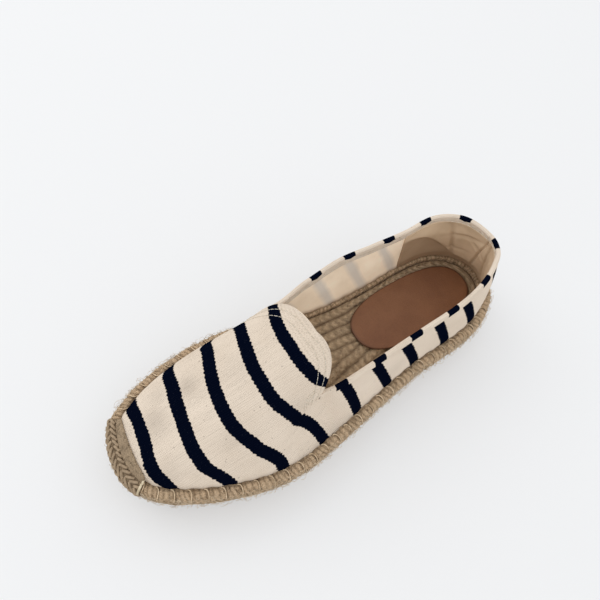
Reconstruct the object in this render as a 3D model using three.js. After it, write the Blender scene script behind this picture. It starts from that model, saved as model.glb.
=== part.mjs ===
// A slip-on espadrille, the left shoe of a pair: canvas upper on a thick sole of coiled jute braid.
// Millimetres. +X runs from heel to toe, +Y to the outer side of the foot, +Z up.
// The origin is on the floor, under the middle of the sole.

import * as THREE from 'three';

// Driving sizes
const SOLE_LENGTH = 247;
const HEEL_TIP_Y = -1.8; // the heel's rearmost point, off the middle line
const TOE_TIP_Y = -3.5; // the toe's foremost point, off the middle line
const GAP = 0.3; // between pieces that touch
const SEAM_INSET = 5.5; // from the sole's edge in to the upper's outer face
const CANVAS_WALL = 1.8; // canvas and its lining together
const OUTSOLE_THICK = 2.5;
const BRAID_ROW = 10.2; // height of the top row of braid
const BRAID_RING_WIDTH = 9.3; // the top row's width, edge to footbed
const FOOTBED_DROP = 1; // the footbed's top below the seam
const SOCK_THICK = 1.2;
const TOE_BRAID_THICK = 1.8;
// Where the section through the throat's notch meets the sole, on each side
const OUTER_THROAT_X = 143;
const INNER_THROAT_X = 152;

// Half breadths of the sole, from the line between its two tips
const OUTLINE = [
  { x: 0, outer: 0, inner: 0 },
  { x: 7.7, outer: 19.3, inner: 19.2 },
  { x: 15, outer: 24.8, inner: 26 },
  { x: 30, outer: 31.5, inner: 31.8 },
  { x: 50, outer: 34.5, inner: 33.2 },
  { x: 78, outer: 35.6, inner: 32 },
  { x: 105, outer: 39.2, inner: 32.6 },
  { x: 135, outer: 44.3, inner: 37 },
  { x: 162, outer: 48, inner: 41.2 },
  { x: 182, outer: 47.2, inner: 42.2 },
  { x: 205, outer: 40.6, inner: 39.4 },
  { x: 226, outer: 30.6, inner: 32.8 },
  { x: 240, outer: 19.6, inner: 23.4 },
  { x: SOLE_LENGTH, outer: 0, inner: 0 },
];

// Height of the seam between sole and upper
const SEAM_HEIGHT = [
  { x: 0, z: 26 },
  { x: 45, z: 26 },
  { x: 100, z: 26.6 },
  { x: 150, z: 27.7 },
  { x: 200, z: 29.2 },
  { x: SOLE_LENGTH, z: 31.6 },
];

// Underside: flat at the heel and under the ball of the foot
const HEEL_BEVEL = { end: 10, lift: 0.8 };
const ARCH = { start: 80, end: 140, lift: 1.6 };
const TOE_SPRING = { start: 195, lift: 5 };

// Side walls of the upper, by the seam's place along the shoe. In and up go from the seam to the
// collar's edge, or on the vamp to its shoulder; a negative value for in leans outwards. bow is
// the share of that lean already taken halfway up the wall.
const OUTER_WALL = [
  { x: 5.5, in: 6.6, up: 41, bow: 0.1 },
  { x: 15, in: 7.2, up: 41.4, bow: 0.1 },
  { x: 30, in: 6.8, up: 41.6, bow: 0.1 },
  { x: 50, in: 4.8, up: 40, bow: 0.1 },
  { x: 72, in: 4.4, up: 36.2, bow: 0.1 },
  { x: 95, in: 7, up: 31.2, bow: 0.2 },
  { x: 118, in: 10.6, up: 26, bow: 0.5 },
  { x: 134, in: 13.6, up: 22.4, bow: 0.8 },
  { x: OUTER_THROAT_X, in: 16, up: 20, bow: 1 },
  { x: 160, in: 14, up: 20.5, bow: 0.65 },
  { x: 178, in: 11, up: 19, bow: 0.35 },
  { x: 198, in: 8.5, up: 16, bow: 0.2 },
  { x: 216, in: 7, up: 12.5, bow: 0.15 },
  { x: 232, in: 5.2, up: 8.4, bow: 0.15 },
  { x: 241.5, in: 4.8, up: 6.4, bow: 0.2 },
];
const INNER_WALL = [
  { x: 5.5, in: 6.6, up: 41, bow: 0.1 },
  { x: 15, in: 1.5, up: 40, bow: 0.1 },
  { x: 30, in: -3.4, up: 36.2, bow: 0.4 },
  { x: 50, in: -3.4, up: 33, bow: 0.5 },
  { x: 72, in: -6.8, up: 31, bow: 0.6 },
  { x: 95, in: -9, up: 29.4, bow: 0.6 },
  { x: 118, in: -5.4, up: 26.4, bow: 0.5 },
  { x: 134, in: 0, up: 24, bow: 0.2 },
  { x: INNER_THROAT_X, in: 3.2, up: 21.4, bow: 0 },
  { x: 162, in: 5.2, up: 21, bow: 0.1 },
  { x: 178, in: 7, up: 19, bow: 0.2 },
  { x: 198, in: 7.5, up: 16, bow: 0.2 },
  { x: 216, in: 7, up: 12.5, bow: 0.15 },
  { x: 232, in: 5.2, up: 8.4, bow: 0.15 },
  { x: 241.5, in: 4.8, up: 6.4, bow: 0.2 },
];
const HALFWAY_UP = 0.52;

// Sections of the vamp, by their share of the way around from the throat (0) to the toe's tip (1):
// the place along the middle line that each climbs to, and how far it hangs back towards the heel
const VAMP_SECTIONS = [
  { part: 0, ridge: 143, outerBack: 6, innerBack: 8.5 },
  { part: 0.1, ridge: 153.5, outerBack: 2.5, innerBack: 5.5 },
  { part: 0.21, ridge: 167, outerBack: 0.5, innerBack: 2.5 },
  { part: 0.35, ridge: 183, outerBack: 0, innerBack: 0.8 },
  { part: 0.49, ridge: 196, outerBack: 0, innerBack: 0 },
  { part: 0.65, ridge: 204, outerBack: 0, innerBack: 0 },
  { part: 1, ridge: 208, outerBack: 0, innerBack: 0 },
];
const LOWER_BACK = 0.65; // the share of that lag that the lower half of the climb has

// The middle line of the vamp, from the top of the tongue down over the toe box
const RIDGE = [
  { x: 143, y: 3, z: 87 },
  { x: 153, y: 2, z: 81 },
  { x: 168, y: 1, z: 73 },
  { x: 185, y: 0, z: 64.5 },
  { x: 198, y: -1.5, z: 58.6 },
  { x: 208, y: -2.5, z: 54 },
  { x: 218, y: -3, z: 49 },
];

// How far each section's curve holds its direction, at the shoulder and at the ridge, as shares of
// the way between them. The tongue is rounder than the vamp, and start is where each begins.
const TONGUE = { start: 143, shoulder: 0.6, crown: 0.68 };
const VAMP = { start: 160, shoulder: 0.4, crown: 0.55 };

// Steps along and around the pieces
const HEEL_STEPS = 26; // heel to throat, each side
const TOE_STEPS = 18; // throat to toe, each side
const WALL_ROWS = 6;
const VAMP_ROWS = 8;

const MID_X = SOLE_LENGTH / 2;

// A smooth curve through the rows of a table, one column against another
function through(rows, place, column) {
  const at = rows.map(place);
  const value = rows.map((row) => row[column]);
  const last = rows.length - 1;
  const slope = value.map((_, i) => {
    const before = Math.max(i - 1, 0);
    const after = Math.min(i + 1, last);
    return (value[after] - value[before]) / (at[after] - at[before]);
  });
  return (x) => {
    const clamped = Math.min(Math.max(x, at[0]), at[last]);
    let i = 0;
    while (i < last - 1 && clamped > at[i + 1]) i += 1;
    const span = at[i + 1] - at[i];
    const t = (clamped - at[i]) / span;
    const keep = (1 + 2 * t) * (1 - t) * (1 - t);
    const rise = t * (1 - t) * (1 - t) * slope[i] - t * t * (1 - t) * slope[i + 1];
    return keep * value[i] + (1 - keep) * value[i + 1] + rise * span;
  };
}

const byX = (row) => row.x;
const turnOf = (x) => Math.acos(1 - (2 * x) / SOLE_LENGTH);
const outerBreadth = through(OUTLINE, (row) => turnOf(row.x), 'outer');
const innerBreadth = through(OUTLINE, (row) => turnOf(row.x), 'inner');
const seamHeight = through(SEAM_HEIGHT, byX, 'z');
const ridgeY = through(RIDGE, byX, 'y');
const ridgeZ = through(RIDGE, byX, 'z');
const columnsOf = (rows, place) => Object.fromEntries(
  Object.keys(rows[0]).map((key) => [key, through(rows, place, key)]),
);
const walls = { outer: columnsOf(OUTER_WALL, byX), inner: columnsOf(INNER_WALL, byX) };
const section = columnsOf(VAMP_SECTIONS, (row) => row.part);

function underside(x) {
  if (x < HEEL_BEVEL.end) return HEEL_BEVEL.lift * (1 - x / HEEL_BEVEL.end) ** 2;
  if (x > ARCH.start && x < ARCH.end) {
    const t = (x - ARCH.start) / (ARCH.end - ARCH.start);
    return ARCH.lift * Math.sin(Math.PI * t) ** 2;
  }
  if (x > TOE_SPRING.start) {
    return TOE_SPRING.lift * ((x - TOE_SPRING.start) / (SOLE_LENGTH - TOE_SPRING.start)) ** 2;
  }
  return 0;
}

// The edge of the sole, by a turn from the heel's tip along the outer side (0 to PI) to the toe's
// tip and back along the inner side (PI to 2 PI)
function edgePoint(turn) {
  const x = MID_X * (1 - Math.cos(turn));
  const middle = HEEL_TIP_Y + ((TOE_TIP_Y - HEEL_TIP_Y) * x) / SOLE_LENGTH;
  const round = (turn + 2 * Math.PI) % (2 * Math.PI);
  const y = round <= Math.PI ? outerBreadth(round) : -innerBreadth(2 * Math.PI - round);
  return new THREE.Vector2(x, middle + y);
}

function edgeNormal(turn) {
  const step = 0.02;
  const along = edgePoint(turn + step).sub(edgePoint(turn - step)).normalize();
  return new THREE.Vector2(-along.y, along.x);
}

function insetPoint(turn, inset) {
  return edgePoint(turn).addScaledVector(edgeNormal(turn), -inset);
}

// Turns of the stations around the whole edge, with one at the throat on each side
const throatTurn = { outer: turnOf(OUTER_THROAT_X), inner: turnOf(INNER_THROAT_X) };
function sideTurns(throat) {
  const turns = [];
  for (let i = 0; i < HEEL_STEPS; i += 1) turns.push((throat * i) / HEEL_STEPS);
  for (let i = 0; i < TOE_STEPS; i += 1) turns.push(throat + ((Math.PI - throat) * i) / TOE_STEPS);
  return turns;
}
const SIDE = HEEL_STEPS + TOE_STEPS;
const innerTurns = sideTurns(throatTurn.inner).slice(1).reverse();
const TURNS = [...sideTurns(throatTurn.outer), Math.PI, ...innerTurns.map((t) => 2 * Math.PI - t)];
const AROUND = TURNS.length;

// Meshes from vertices and faces, moved so that the origin is under the middle of the sole
function solidMesh(name, material, points, faces) {
  const geometry = new THREE.BufferGeometry();
  const flat = points.flatMap((p) => [p.x - MID_X, p.y, p.z]);
  geometry.setAttribute('position', new THREE.Float32BufferAttribute(flat, 3));
  geometry.setIndex(faces.flat());
  geometry.computeVertexNormals();
  const mesh = new THREE.Mesh(geometry, material);
  mesh.name = name;
  return mesh;
}

// One ring of points around the edge: the inset from the edge and a height for each place
function edgeRing(inset, height) {
  return TURNS.map((turn) => {
    const p = insetPoint(turn, inset);
    return new THREE.Vector3(p.x, p.y, height(p.x));
  });
}

function bandFaces(low, high, count) {
  const faces = [];
  for (let k = 0; k < count; k += 1) {
    const next = (k + 1) % count;
    faces.push([low + k, high + k, high + next], [low + k, high + next, low + next]);
  }
  return faces;
}

// A lid over one ring, in strips from side to side
function lidFaces(start, count, up) {
  const half = count / 2;
  const faces = [[start, start + count - 1, start + 1]];
  for (let k = 1; k < half - 1; k += 1) {
    const outer = start + k;
    const inner = start + count - k;
    faces.push([outer, inner, inner - 1], [outer, inner - 1, outer + 1]);
  }
  faces.push([start + half, start + half - 1, start + half + 1]);
  return up ? faces : faces.map(([a, b, c]) => [a, c, b]);
}

function slab(name, material, rings) {
  const count = rings[0].length;
  const faces = lidFaces(0, count, false);
  for (let r = 0; r < rings.length - 1; r += 1) {
    faces.push(...bandFaces(r * count, (r + 1) * count, count));
  }
  faces.push(...lidFaces((rings.length - 1) * count, count, true));
  return solidMesh(name, material, rings.flat(), faces);
}

// Sole pieces
function outsole(material) {
  return slab('outsole', material, [
    edgeRing(5.4, underside),
    edgeRing(4.6, (x) => underside(x) + 0.8),
    edgeRing(4.6, (x) => underside(x) + OUTSOLE_THICK),
  ]);
}

function juteSole(material) {
  const low = (x) => underside(x) + OUTSOLE_THICK + GAP;
  const high = (x) => seamHeight(x) - BRAID_ROW - GAP;
  const between = (share) => (x) => low(x) + share * (high(x) - low(x));
  return slab('jute_sole', material, [
    edgeRing(4.8, low),
    edgeRing(3.5, between(0.2)),
    edgeRing(2.8, between(0.55)),
    edgeRing(2.9, between(0.85)),
    edgeRing(3.6, high),
  ]);
}

// The outermost row of the upper coil, rounded like a rope on its outer face
function edgeBraid(material) {
  const profile = [
    { inset: 1.6, down: BRAID_ROW },
    { inset: 0.3, down: 7.8 },
    { inset: 0, down: 5 },
    { inset: 0.6, down: 2.5 },
    { inset: 2.2, down: 0.7 },
    { inset: 4.4, down: 0 },
    { inset: 8.4, down: 0 },
    { inset: BRAID_RING_WIDTH, down: FOOTBED_DROP },
    { inset: BRAID_RING_WIDTH, down: BRAID_ROW },
  ];
  const rings = profile.map((row) => edgeRing(row.inset, (x) => seamHeight(x) - row.down));
  const faces = profile.flatMap((_, i) => {
    const next = (i + 1) % profile.length;
    return bandFaces(i * AROUND, next * AROUND, AROUND);
  });
  return solidMesh('edge_braid', material, rings.flat(), faces);
}

function footbed(material) {
  const inset = BRAID_RING_WIDTH + GAP;
  return slab('footbed', material, [
    edgeRing(inset, (x) => seamHeight(x) - BRAID_ROW),
    edgeRing(inset, (x) => seamHeight(x) - FOOTBED_DROP - 1),
    edgeRing(inset + 1, (x) => seamHeight(x) - FOOTBED_DROP),
  ]);
}

// The leather pad under the heel, a long rounded shape lying on the footbed
const SOCK = { middleX: 58.5, middleY: -2.2, halfLength: 42, halfWidth: 18.8, fullness: 2.5, steps: 48 };

function heelSock(material) {
  const ring = (shrink, rise) => {
    const points = [];
    for (let i = 0; i < SOCK.steps; i += 1) {
      const turn = (2 * Math.PI * i) / SOCK.steps;
      const round = (v) => Math.sign(v) * Math.abs(v) ** (2 / SOCK.fullness);
      const x = SOCK.middleX - (SOCK.halfLength - shrink) * round(Math.cos(turn));
      const y = SOCK.middleY + (SOCK.halfWidth - shrink) * round(Math.sin(turn));
      points.push(new THREE.Vector3(x, y, seamHeight(x) - FOOTBED_DROP + rise));
    }
    return points;
  };
  return slab('heel_sock', material, [
    ring(0, GAP),
    ring(0, GAP + SOCK_THICK / 2),
    ring(0.6, GAP + SOCK_THICK),
  ]);
}

// The upper's outer face. share runs from 0 at the seam to 1 at the collar's edge or shoulder, and
// on the vamp on to 2 at the ridge.
function mix(points, t) {
  const line = points.map((p) => p.clone());
  for (let left = line.length - 1; left > 0; left -= 1) {
    for (let i = 0; i < left; i += 1) line[i].lerp(line[i + 1], t);
  }
  return line[0];
}

function upperPoint(turn, share) {
  const side = turn <= Math.PI ? 'outer' : 'inner';
  const wall = walls[side];
  const seam = insetPoint(turn, SEAM_INSET);
  const inwards = edgeNormal(turn).negate();
  const x = seam.x;
  const at = (shareIn, shareUp) => new THREE.Vector3(
    seam.x + inwards.x * wall.in(x) * shareIn,
    seam.y + inwards.y * wall.in(x) * shareIn,
    seamHeight(x) + GAP + wall.up(x) * shareUp,
  );
  const halfway = at(wall.bow(x), HALFWAY_UP);
  const shoulder = at(1, 1);
  if (share <= 1) return mix([at(0, 0), halfway, shoulder], share);

  const fromHeel = Math.min(turn, 2 * Math.PI - turn);
  const part = (fromHeel - throatTurn[side]) / (Math.PI - throatTurn[side]);
  const ridgeX = section.ridge(part);
  const top = new THREE.Vector3(ridgeX, ridgeY(ridgeX), ridgeZ(ridgeX));
  const reach = shoulder.distanceTo(top);
  const vampShare = THREE.MathUtils.smoothstep(ridgeX, TONGUE.start, VAMP.start);
  const hold = (key) => THREE.MathUtils.lerp(TONGUE[key], VAMP[key], vampShare);
  const climb = shoulder.clone().sub(halfway).setLength(reach * hold('shoulder')).add(shoulder);
  const fall = (ridgeZ(ridgeX + 1) - ridgeZ(ridgeX - 1)) / 2;
  const out = shoulder.clone().sub(top).multiplyScalar(hold('crown'));
  const crown = new THREE.Vector3(top.x + out.x, top.y + out.y, top.z + fall * out.x);
  climb.x -= section[`${side}Back`](part) * LOWER_BACK;
  crown.x -= section[`${side}Back`](part);
  return mix([shoulder, climb, crown, top], share - 1);
}

// Closes an open surface into a solid wall. flat holds the points whose offset stays level.
function thicken(points, faces, flat, near, far) {
  const normals = points.map(() => new THREE.Vector3());
  const edges = new Map();
  for (const [a, b, c] of faces) {
    const side = points[b].clone().sub(points[a]);
    const normal = side.cross(points[c].clone().sub(points[a]));
    for (const i of [a, b, c]) normals[i].add(normal);
    for (const [i, j] of [[a, b], [b, c], [c, a]]) edges.set(`${i},${j}`, [i, j]);
  }
  normals.forEach((normal, i) => {
    if (flat.has(i)) normal.z = 0;
    normal.normalize();
  });
  const shift = (distance) => points.map((p, i) => p.clone().addScaledVector(normals[i], distance));
  const count = points.length;
  const all = [...shift(far), ...shift(near)];
  const closed = [...faces, ...faces.map(([a, b, c]) => [a + count, c + count, b + count])];
  for (const [i, j] of edges.values()) {
    if (!edges.has(`${j},${i}`)) closed.push([j, i, i + count], [j, i + count, j + count]);
  }
  return { points: all, faces: closed };
}

// A strip of faces between two columns of points, which share any point that they have in common
function stripFaces(left, right) {
  const faces = [];
  for (let i = 0; i < left.length - 1; i += 1) {
    if (right[i + 1] !== left[i + 1]) faces.push([left[i], left[i + 1], right[i + 1]]);
    faces.push([left[i], right[i + 1], right[i]]);
  }
  return faces;
}

function upper(material) {
  const points = [];
  const add = (turn, share) => points.push(upperPoint(turn, share)) - 1;
  const isVamp = (k) => k >= HEEL_STEPS && k <= AROUND - HEEL_STEPS;
  const columns = TURNS.map((turn, k) => {
    const column = [];
    for (let j = 0; j <= WALL_ROWS; j += 1) column.push(add(turn, j / WALL_ROWS));
    if (isVamp(k)) {
      for (let j = 1; j < VAMP_ROWS; j += 1) column.push(add(turn, 1 + j / VAMP_ROWS));
    }
    return column;
  });
  for (let k = HEEL_STEPS; k <= SIDE; k += 1) {
    const top = add(TURNS[k], 2);
    columns[k].push(top);
    if (k < SIDE) columns[AROUND - k].push(top);
  }
  const faces = [];
  for (let k = 0; k < AROUND; k += 1) {
    const next = (k + 1) % AROUND;
    const rows = isVamp(k) && isVamp(next) ? WALL_ROWS + VAMP_ROWS + 1 : WALL_ROWS + 1;
    faces.push(...stripFaces(columns[k].slice(0, rows), columns[next].slice(0, rows)));
  }
  const flat = new Set(columns.map((column) => column[0]));
  const body = thicken(points, faces, flat, -CANVAS_WALL, 0);
  return solidMesh('upper', material, body.points, body.faces);
}

// The crocheted jute cover over the toe, standing proud of the canvas
const TOE_BRAID = { outerTurn: 0.25, innerTurn: 0.37, share: 0.98, endShare: 0.3, steps: 20, rows: 4 };

function toeBraid(material) {
  const points = [];
  const columns = [];
  for (let i = 0; i <= TOE_BRAID.steps; i += 1) {
    const along = i / TOE_BRAID.steps;
    const turn = Math.PI - TOE_BRAID.outerTurn + along * (TOE_BRAID.outerTurn + TOE_BRAID.innerTurn);
    const swell = Math.sin(Math.PI * along) ** 0.5;
    const share = THREE.MathUtils.lerp(TOE_BRAID.endShare, TOE_BRAID.share, swell);
    const column = [];
    for (let j = 0; j <= TOE_BRAID.rows; j += 1) {
      column.push(points.push(upperPoint(turn, (share * j) / TOE_BRAID.rows)) - 1);
    }
    columns.push(column);
  }
  const faces = [];
  for (let i = 0; i < TOE_BRAID.steps; i += 1) faces.push(...stripFaces(columns[i], columns[i + 1]));
  const flat = new Set(columns.map((column) => column[0]));
  const body = thicken(points, faces, flat, GAP, GAP + TOE_BRAID_THICK);
  return solidMesh('toe_braid', material, body.points, body.faces);
}

const canvas = new THREE.MeshStandardMaterial({ color: 0xe8decf, roughness: 0.9, metalness: 0 });
const jute = new THREE.MeshStandardMaterial({ color: 0xac9474, roughness: 0.95, metalness: 0 });
const innerJute = new THREE.MeshStandardMaterial({ color: 0x8c7656, roughness: 0.95, metalness: 0 });
const leather = new THREE.MeshStandardMaterial({ color: 0x704a32, roughness: 0.6, metalness: 0 });
const rubber = new THREE.MeshStandardMaterial({ color: 0x8a7a66, roughness: 0.8, metalness: 0 });

const espadrille = new THREE.Group();
espadrille.add(
  outsole(rubber),
  juteSole(jute),
  edgeBraid(jute),
  footbed(innerJute),
  heelSock(leather),
  upper(canvas),
  toeBraid(jute),
);

export default espadrille;
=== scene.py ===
"""A left-foot espadrille: striped canvas upper, its linings, and a sole of coiled, stitched jute.

Sizes are millimetres in the shoe's own frame: x from the heel's back edge to the toe, y to the
outer side of the foot, z up from the floor. Meshes are made in metres, centred on the sole.
"""

import logging
import math
from collections.abc import Callable, Mapping, Sequence
from dataclasses import dataclass, field
from enum import Enum

import bpy
import numpy as np
from mathutils import Matrix, Vector


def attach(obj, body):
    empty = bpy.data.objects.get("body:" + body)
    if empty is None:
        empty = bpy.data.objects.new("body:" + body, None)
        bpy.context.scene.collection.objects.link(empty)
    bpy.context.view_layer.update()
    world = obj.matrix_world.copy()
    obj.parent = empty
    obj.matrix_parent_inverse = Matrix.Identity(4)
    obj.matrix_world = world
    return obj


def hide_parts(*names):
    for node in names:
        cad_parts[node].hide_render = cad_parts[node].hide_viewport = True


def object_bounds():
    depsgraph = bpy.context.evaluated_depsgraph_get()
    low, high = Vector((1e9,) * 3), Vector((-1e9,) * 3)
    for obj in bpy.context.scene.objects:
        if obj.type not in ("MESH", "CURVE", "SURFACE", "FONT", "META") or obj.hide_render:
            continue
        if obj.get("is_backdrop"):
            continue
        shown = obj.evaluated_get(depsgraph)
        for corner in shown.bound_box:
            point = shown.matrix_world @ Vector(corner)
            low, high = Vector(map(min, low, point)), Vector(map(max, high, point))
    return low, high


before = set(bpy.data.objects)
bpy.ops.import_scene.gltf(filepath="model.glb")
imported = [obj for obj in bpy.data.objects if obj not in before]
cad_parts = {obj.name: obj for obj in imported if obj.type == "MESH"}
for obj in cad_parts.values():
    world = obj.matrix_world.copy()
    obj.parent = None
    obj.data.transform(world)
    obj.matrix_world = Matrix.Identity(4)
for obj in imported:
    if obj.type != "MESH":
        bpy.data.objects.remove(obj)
CAD_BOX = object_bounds()

Array = np.ndarray
Colour = tuple[float, float, float]
Rows = Sequence[Sequence[float]]
PI = math.pi
MILLIMETRE = 0.001
CLOTH_UV = "cloth"  # along and around each piece, in millimetres
TINY = 1e-9  # keeps a division away from nothing
PLAIN = -9.0  # a place on cloth that is far outside every stripe
log = logging.getLogger("espadrille")


# --- Shape of the shoe ---


@dataclass(frozen=True)
class Curve:
    """A smooth curve through the rows of a table.

    Args:
        at: Places, in rising order.
        value: The value at each place.
    """

    at: tuple[float, ...]
    value: tuple[float, ...]

    @classmethod
    def through(cls, rows: Rows, column: int = 1, place: Callable[[float], float] = float) -> "Curve":
        """The curve of one column of a table, at the places that its first column gives."""
        return cls(tuple(place(row[0]) for row in rows), tuple(float(row[column]) for row in rows))

    def __call__(self, x: Array | float) -> Array:
        """Reads the curve.

        Args:
            x: Places; those past an end read the end's value.

        Returns:
            The values there.
        """
        at, value = np.array(self.at), np.array(self.value)
        last = len(at) - 1
        row = np.arange(last + 1)
        before, after = np.maximum(row - 1, 0), np.minimum(row + 1, last)
        slope = (value[after] - value[before]) / (at[after] - at[before])
        x = np.clip(np.asarray(x, float), at[0], at[-1])
        i = np.clip(np.searchsorted(at, x) - 1, 0, last - 1)
        span = at[i + 1] - at[i]
        t = (x - at[i]) / span
        keep = (1 + 2 * t) * (1 - t) ** 2
        rise = t * (1 - t) ** 2 * slope[i] - t * t * (1 - t) * slope[i + 1]
        return keep * value[i] + (1 - keep) * value[i + 1] + rise * span


def smoothstep(x: Array, low: float, high: float) -> Array:
    """Rises smoothly from 0 at low to 1 at high."""
    t = np.clip((np.asarray(x, float) - low) / (high - low), 0, 1)
    return t * t * (3 - 2 * t)


def unit(vectors: Array) -> Array:
    """Scales vectors to length 1."""
    return vectors / np.maximum(np.linalg.norm(vectors, axis=-1, keepdims=True), TINY)


def bell(away: Array, width: float) -> Array:
    """1 on a line, and next to nothing two widths away from it."""
    return np.exp(-((away / width) ** 2))


def distances(line: Array) -> Array:
    """The distance along a line to each of its points."""
    return np.concatenate([[0], np.cumsum(np.linalg.norm(np.diff(line, axis=0), axis=1))])


def read_line(line: Array, walked: Array, places: Array) -> Array:
    """Reads points off a line at distances along it, given how far each of its points has walked."""
    return np.stack([np.interp(places, walked, line[:, i]) for i in range(3)], -1)


def grid_faces(lines: int, places: int) -> list[tuple[int, ...]]:
    """The faces that join a grid of points, lines of them with so many places each."""
    return [(k * places + i, k * places + i + 1, (k + 1) * places + i + 1, (k + 1) * places + i)
            for k in range(lines - 1) for i in range(places - 1)]


class Side(Enum):
    """A side of the foot."""

    OUTER = 1
    INNER = -1


@dataclass(frozen=True)
class Wall:
    """How one side wall of the upper leans, by its seam's place along the shoe.

    Args:
        into: How far in from the seam the collar's edge or the shoulder lies.
        up: How far above the seam it lies.
        bow: The share of the lean that is reached halfway up.
        throat: Where the throat's section meets the sole.
        lag: How far back the vamp's sections hang, by their share of the way to the toe.
    """

    into: Curve
    up: Curve
    bow: Curve
    throat: float
    lag: Curve

    @classmethod
    def of(cls, rows: Rows, throat: float, sections: Rows, lag: int) -> "Wall":
        """Makes a wall from its table, and its lag from that column of the vamp's sections."""
        curves = (Curve.through(rows, column) for column in (1, 2, 3))
        return cls(*curves, throat, Curve.through(sections, lag))


@dataclass(frozen=True)
class Last:
    """The outline of the sole and the form of the upper, which every piece follows.

    Args:
        length: The sole's length.
        heel_y: The outline's middle at the heel.
        toe_y: The outline's middle at the toe.
        gap: How far above the edge row the canvas starts.
        seam_inset: How far in from the sole's edge it starts.
        halfway: How high a wall's middle lies, as a share of its height.
        lower_lag: The share of the lag that is reached at the shoulder.
        outline: Place, outer half breadth and inner half breadth of the sole.
        heel_lift: How far the underside rises at the heel's back, and over what length.
        arch: How far it rises in its arch, and where that starts and ends.
        toe_spring: How far it rises at the toe, and where that starts and ends.
        seam: Height of the edge row's top.
        outer_wall: Place, lean, height and bow of the outer wall.
        inner_wall: The same for the inner wall.
        outer_throat: Where the throat's section meets the sole on the outer side.
        inner_throat: The same on the inner side.
        sections: Share of the way to the toe, the ridge's place there, and the lag of each side.
        ridge: Place, side and height of the vamp's ridge.
        tongue_start: Where the tongue starts.
        vamp_start: Where the full vamp starts.
        hold_shoulder: How full the vamp is over its shoulder, at the tongue and beyond it.
        hold_crown: How full it is beside its ridge.
    """

    length: float = 247.0
    heel_y: float = -1.8
    toe_y: float = -3.5
    gap: float = 0.3
    seam_inset: float = 5.5
    halfway: float = 0.52
    lower_lag: float = 0.65
    outline: Rows = (
        (0, 0, 0), (7.7, 19.3, 19.2), (15, 24.8, 26), (30, 31.5, 31.8), (50, 34.5, 33.2),
        (78, 35.6, 32), (105, 39.2, 32.6), (135, 44.3, 37), (162, 48, 41.2), (182, 47.2, 42.2),
        (205, 40.6, 39.4), (226, 30.6, 32.8), (240, 19.6, 23.4), (247, 0, 0),
    )
    heel_lift: tuple[float, float] = (0.8, 10)
    arch: tuple[float, float, float] = (1.6, 80, 140)
    toe_spring: tuple[float, float, float] = (5, 195, 247)
    seam: Curve = Curve((0, 45, 100, 150, 200, 247), (26, 26, 26.6, 27.7, 29.2, 31.6))
    outer_wall: Rows = (
        (5.5, 6.6, 41, 0.1), (15, 7.2, 41.4, 0.1), (30, 6.8, 41.6, 0.1), (50, 4.8, 40, 0.1),
        (72, 4.4, 36.2, 0.1), (95, 7, 31.2, 0.2), (118, 10.6, 26, 0.5), (134, 13.6, 22.4, 0.8),
        (143, 16, 20, 1), (160, 14, 20.5, 0.65), (178, 11, 19, 0.35), (198, 8.5, 16, 0.2),
        (216, 7, 12.5, 0.15), (232, 5.2, 8.4, 0.15), (241.5, 4.8, 6.4, 0.2),
    )
    inner_wall: Rows = (
        (5.5, 6.6, 41, 0.1), (15, 1.5, 40, 0.1), (30, -3.4, 36.2, 0.4), (50, -3.4, 33, 0.5),
        (72, -6.8, 31, 0.6), (95, -9, 29.4, 0.6), (118, -5.4, 26.4, 0.5), (134, 0, 24, 0.2),
        (152, 3.2, 21.4, 0), (162, 5.2, 21, 0.1), (178, 7, 19, 0.2), (198, 7.5, 16, 0.2),
        (216, 7, 12.5, 0.15), (232, 5.2, 8.4, 0.15), (241.5, 4.8, 6.4, 0.2),
    )
    outer_throat: float = 143
    inner_throat: float = 152
    sections: Rows = (
        (0, 143, 6, 8.5), (0.1, 153.5, 2.5, 5.5), (0.21, 167, 0.5, 2.5), (0.35, 183, 0, 0.8),
        (0.49, 196, 0, 0), (0.65, 204, 0, 0), (1, 208, 0, 0),
    )
    ridge: Rows = (
        (143, 3, 87), (153, 2, 81), (168, 1, 73), (185, 0, 64.5), (198, -1.5, 58.6),
        (208, -2.5, 54), (218, -3, 49),
    )
    tongue_start: float = 143.0
    vamp_start: float = 160.0
    hold_shoulder: tuple[float, float] = (0.6, 0.4)
    hold_crown: tuple[float, float] = (0.68, 0.55)

    def turn_of(self, x: float) -> float:
        """The turn around the outer side at a place along the shoe."""
        return math.acos(1 - 2 * x / self.length)

    def wall(self, side: Side) -> Wall:
        """The side wall of one side.

        Args:
            side: The side.

        Returns:
            Its wall.
        """
        if side is Side.OUTER:
            return Wall.of(self.outer_wall, self.outer_throat, self.sections, 2)
        return Wall.of(self.inner_wall, self.inner_throat, self.sections, 3)

    def edge(self, turn: Array) -> Array:
        """The sole's edge.

        Args:
            turn: How far round, from the heel's tip along the outer side and back.

        Returns:
            The points, seen from above.
        """
        x = self.length / 2 * (1 - np.cos(turn))
        middle = self.heel_y + (self.toe_y - self.heel_y) * x / self.length
        around = np.mod(turn, 2 * PI)
        outer = Curve.through(self.outline, 1, self.turn_of)
        inner = Curve.through(self.outline, 2, self.turn_of)
        return np.stack([x, middle + np.where(around <= PI, outer(around), -inner(2 * PI - around))], -1)

    def outwards(self, turn: Array) -> Array:
        """The level direction out of the sole's edge.

        Args:
            turn: How far round.

        Returns:
            The directions.
        """
        step = 0.02
        along = unit(self.edge(turn + step) - self.edge(turn - step))
        return np.stack([-along[..., 1], along[..., 0]], -1)

    def inset(self, turn: Array, inset: Array | float) -> Array:
        """A point in from the sole's edge."""
        return self.edge(turn) - self.outwards(turn) * np.asarray(inset)[..., None]

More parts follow.
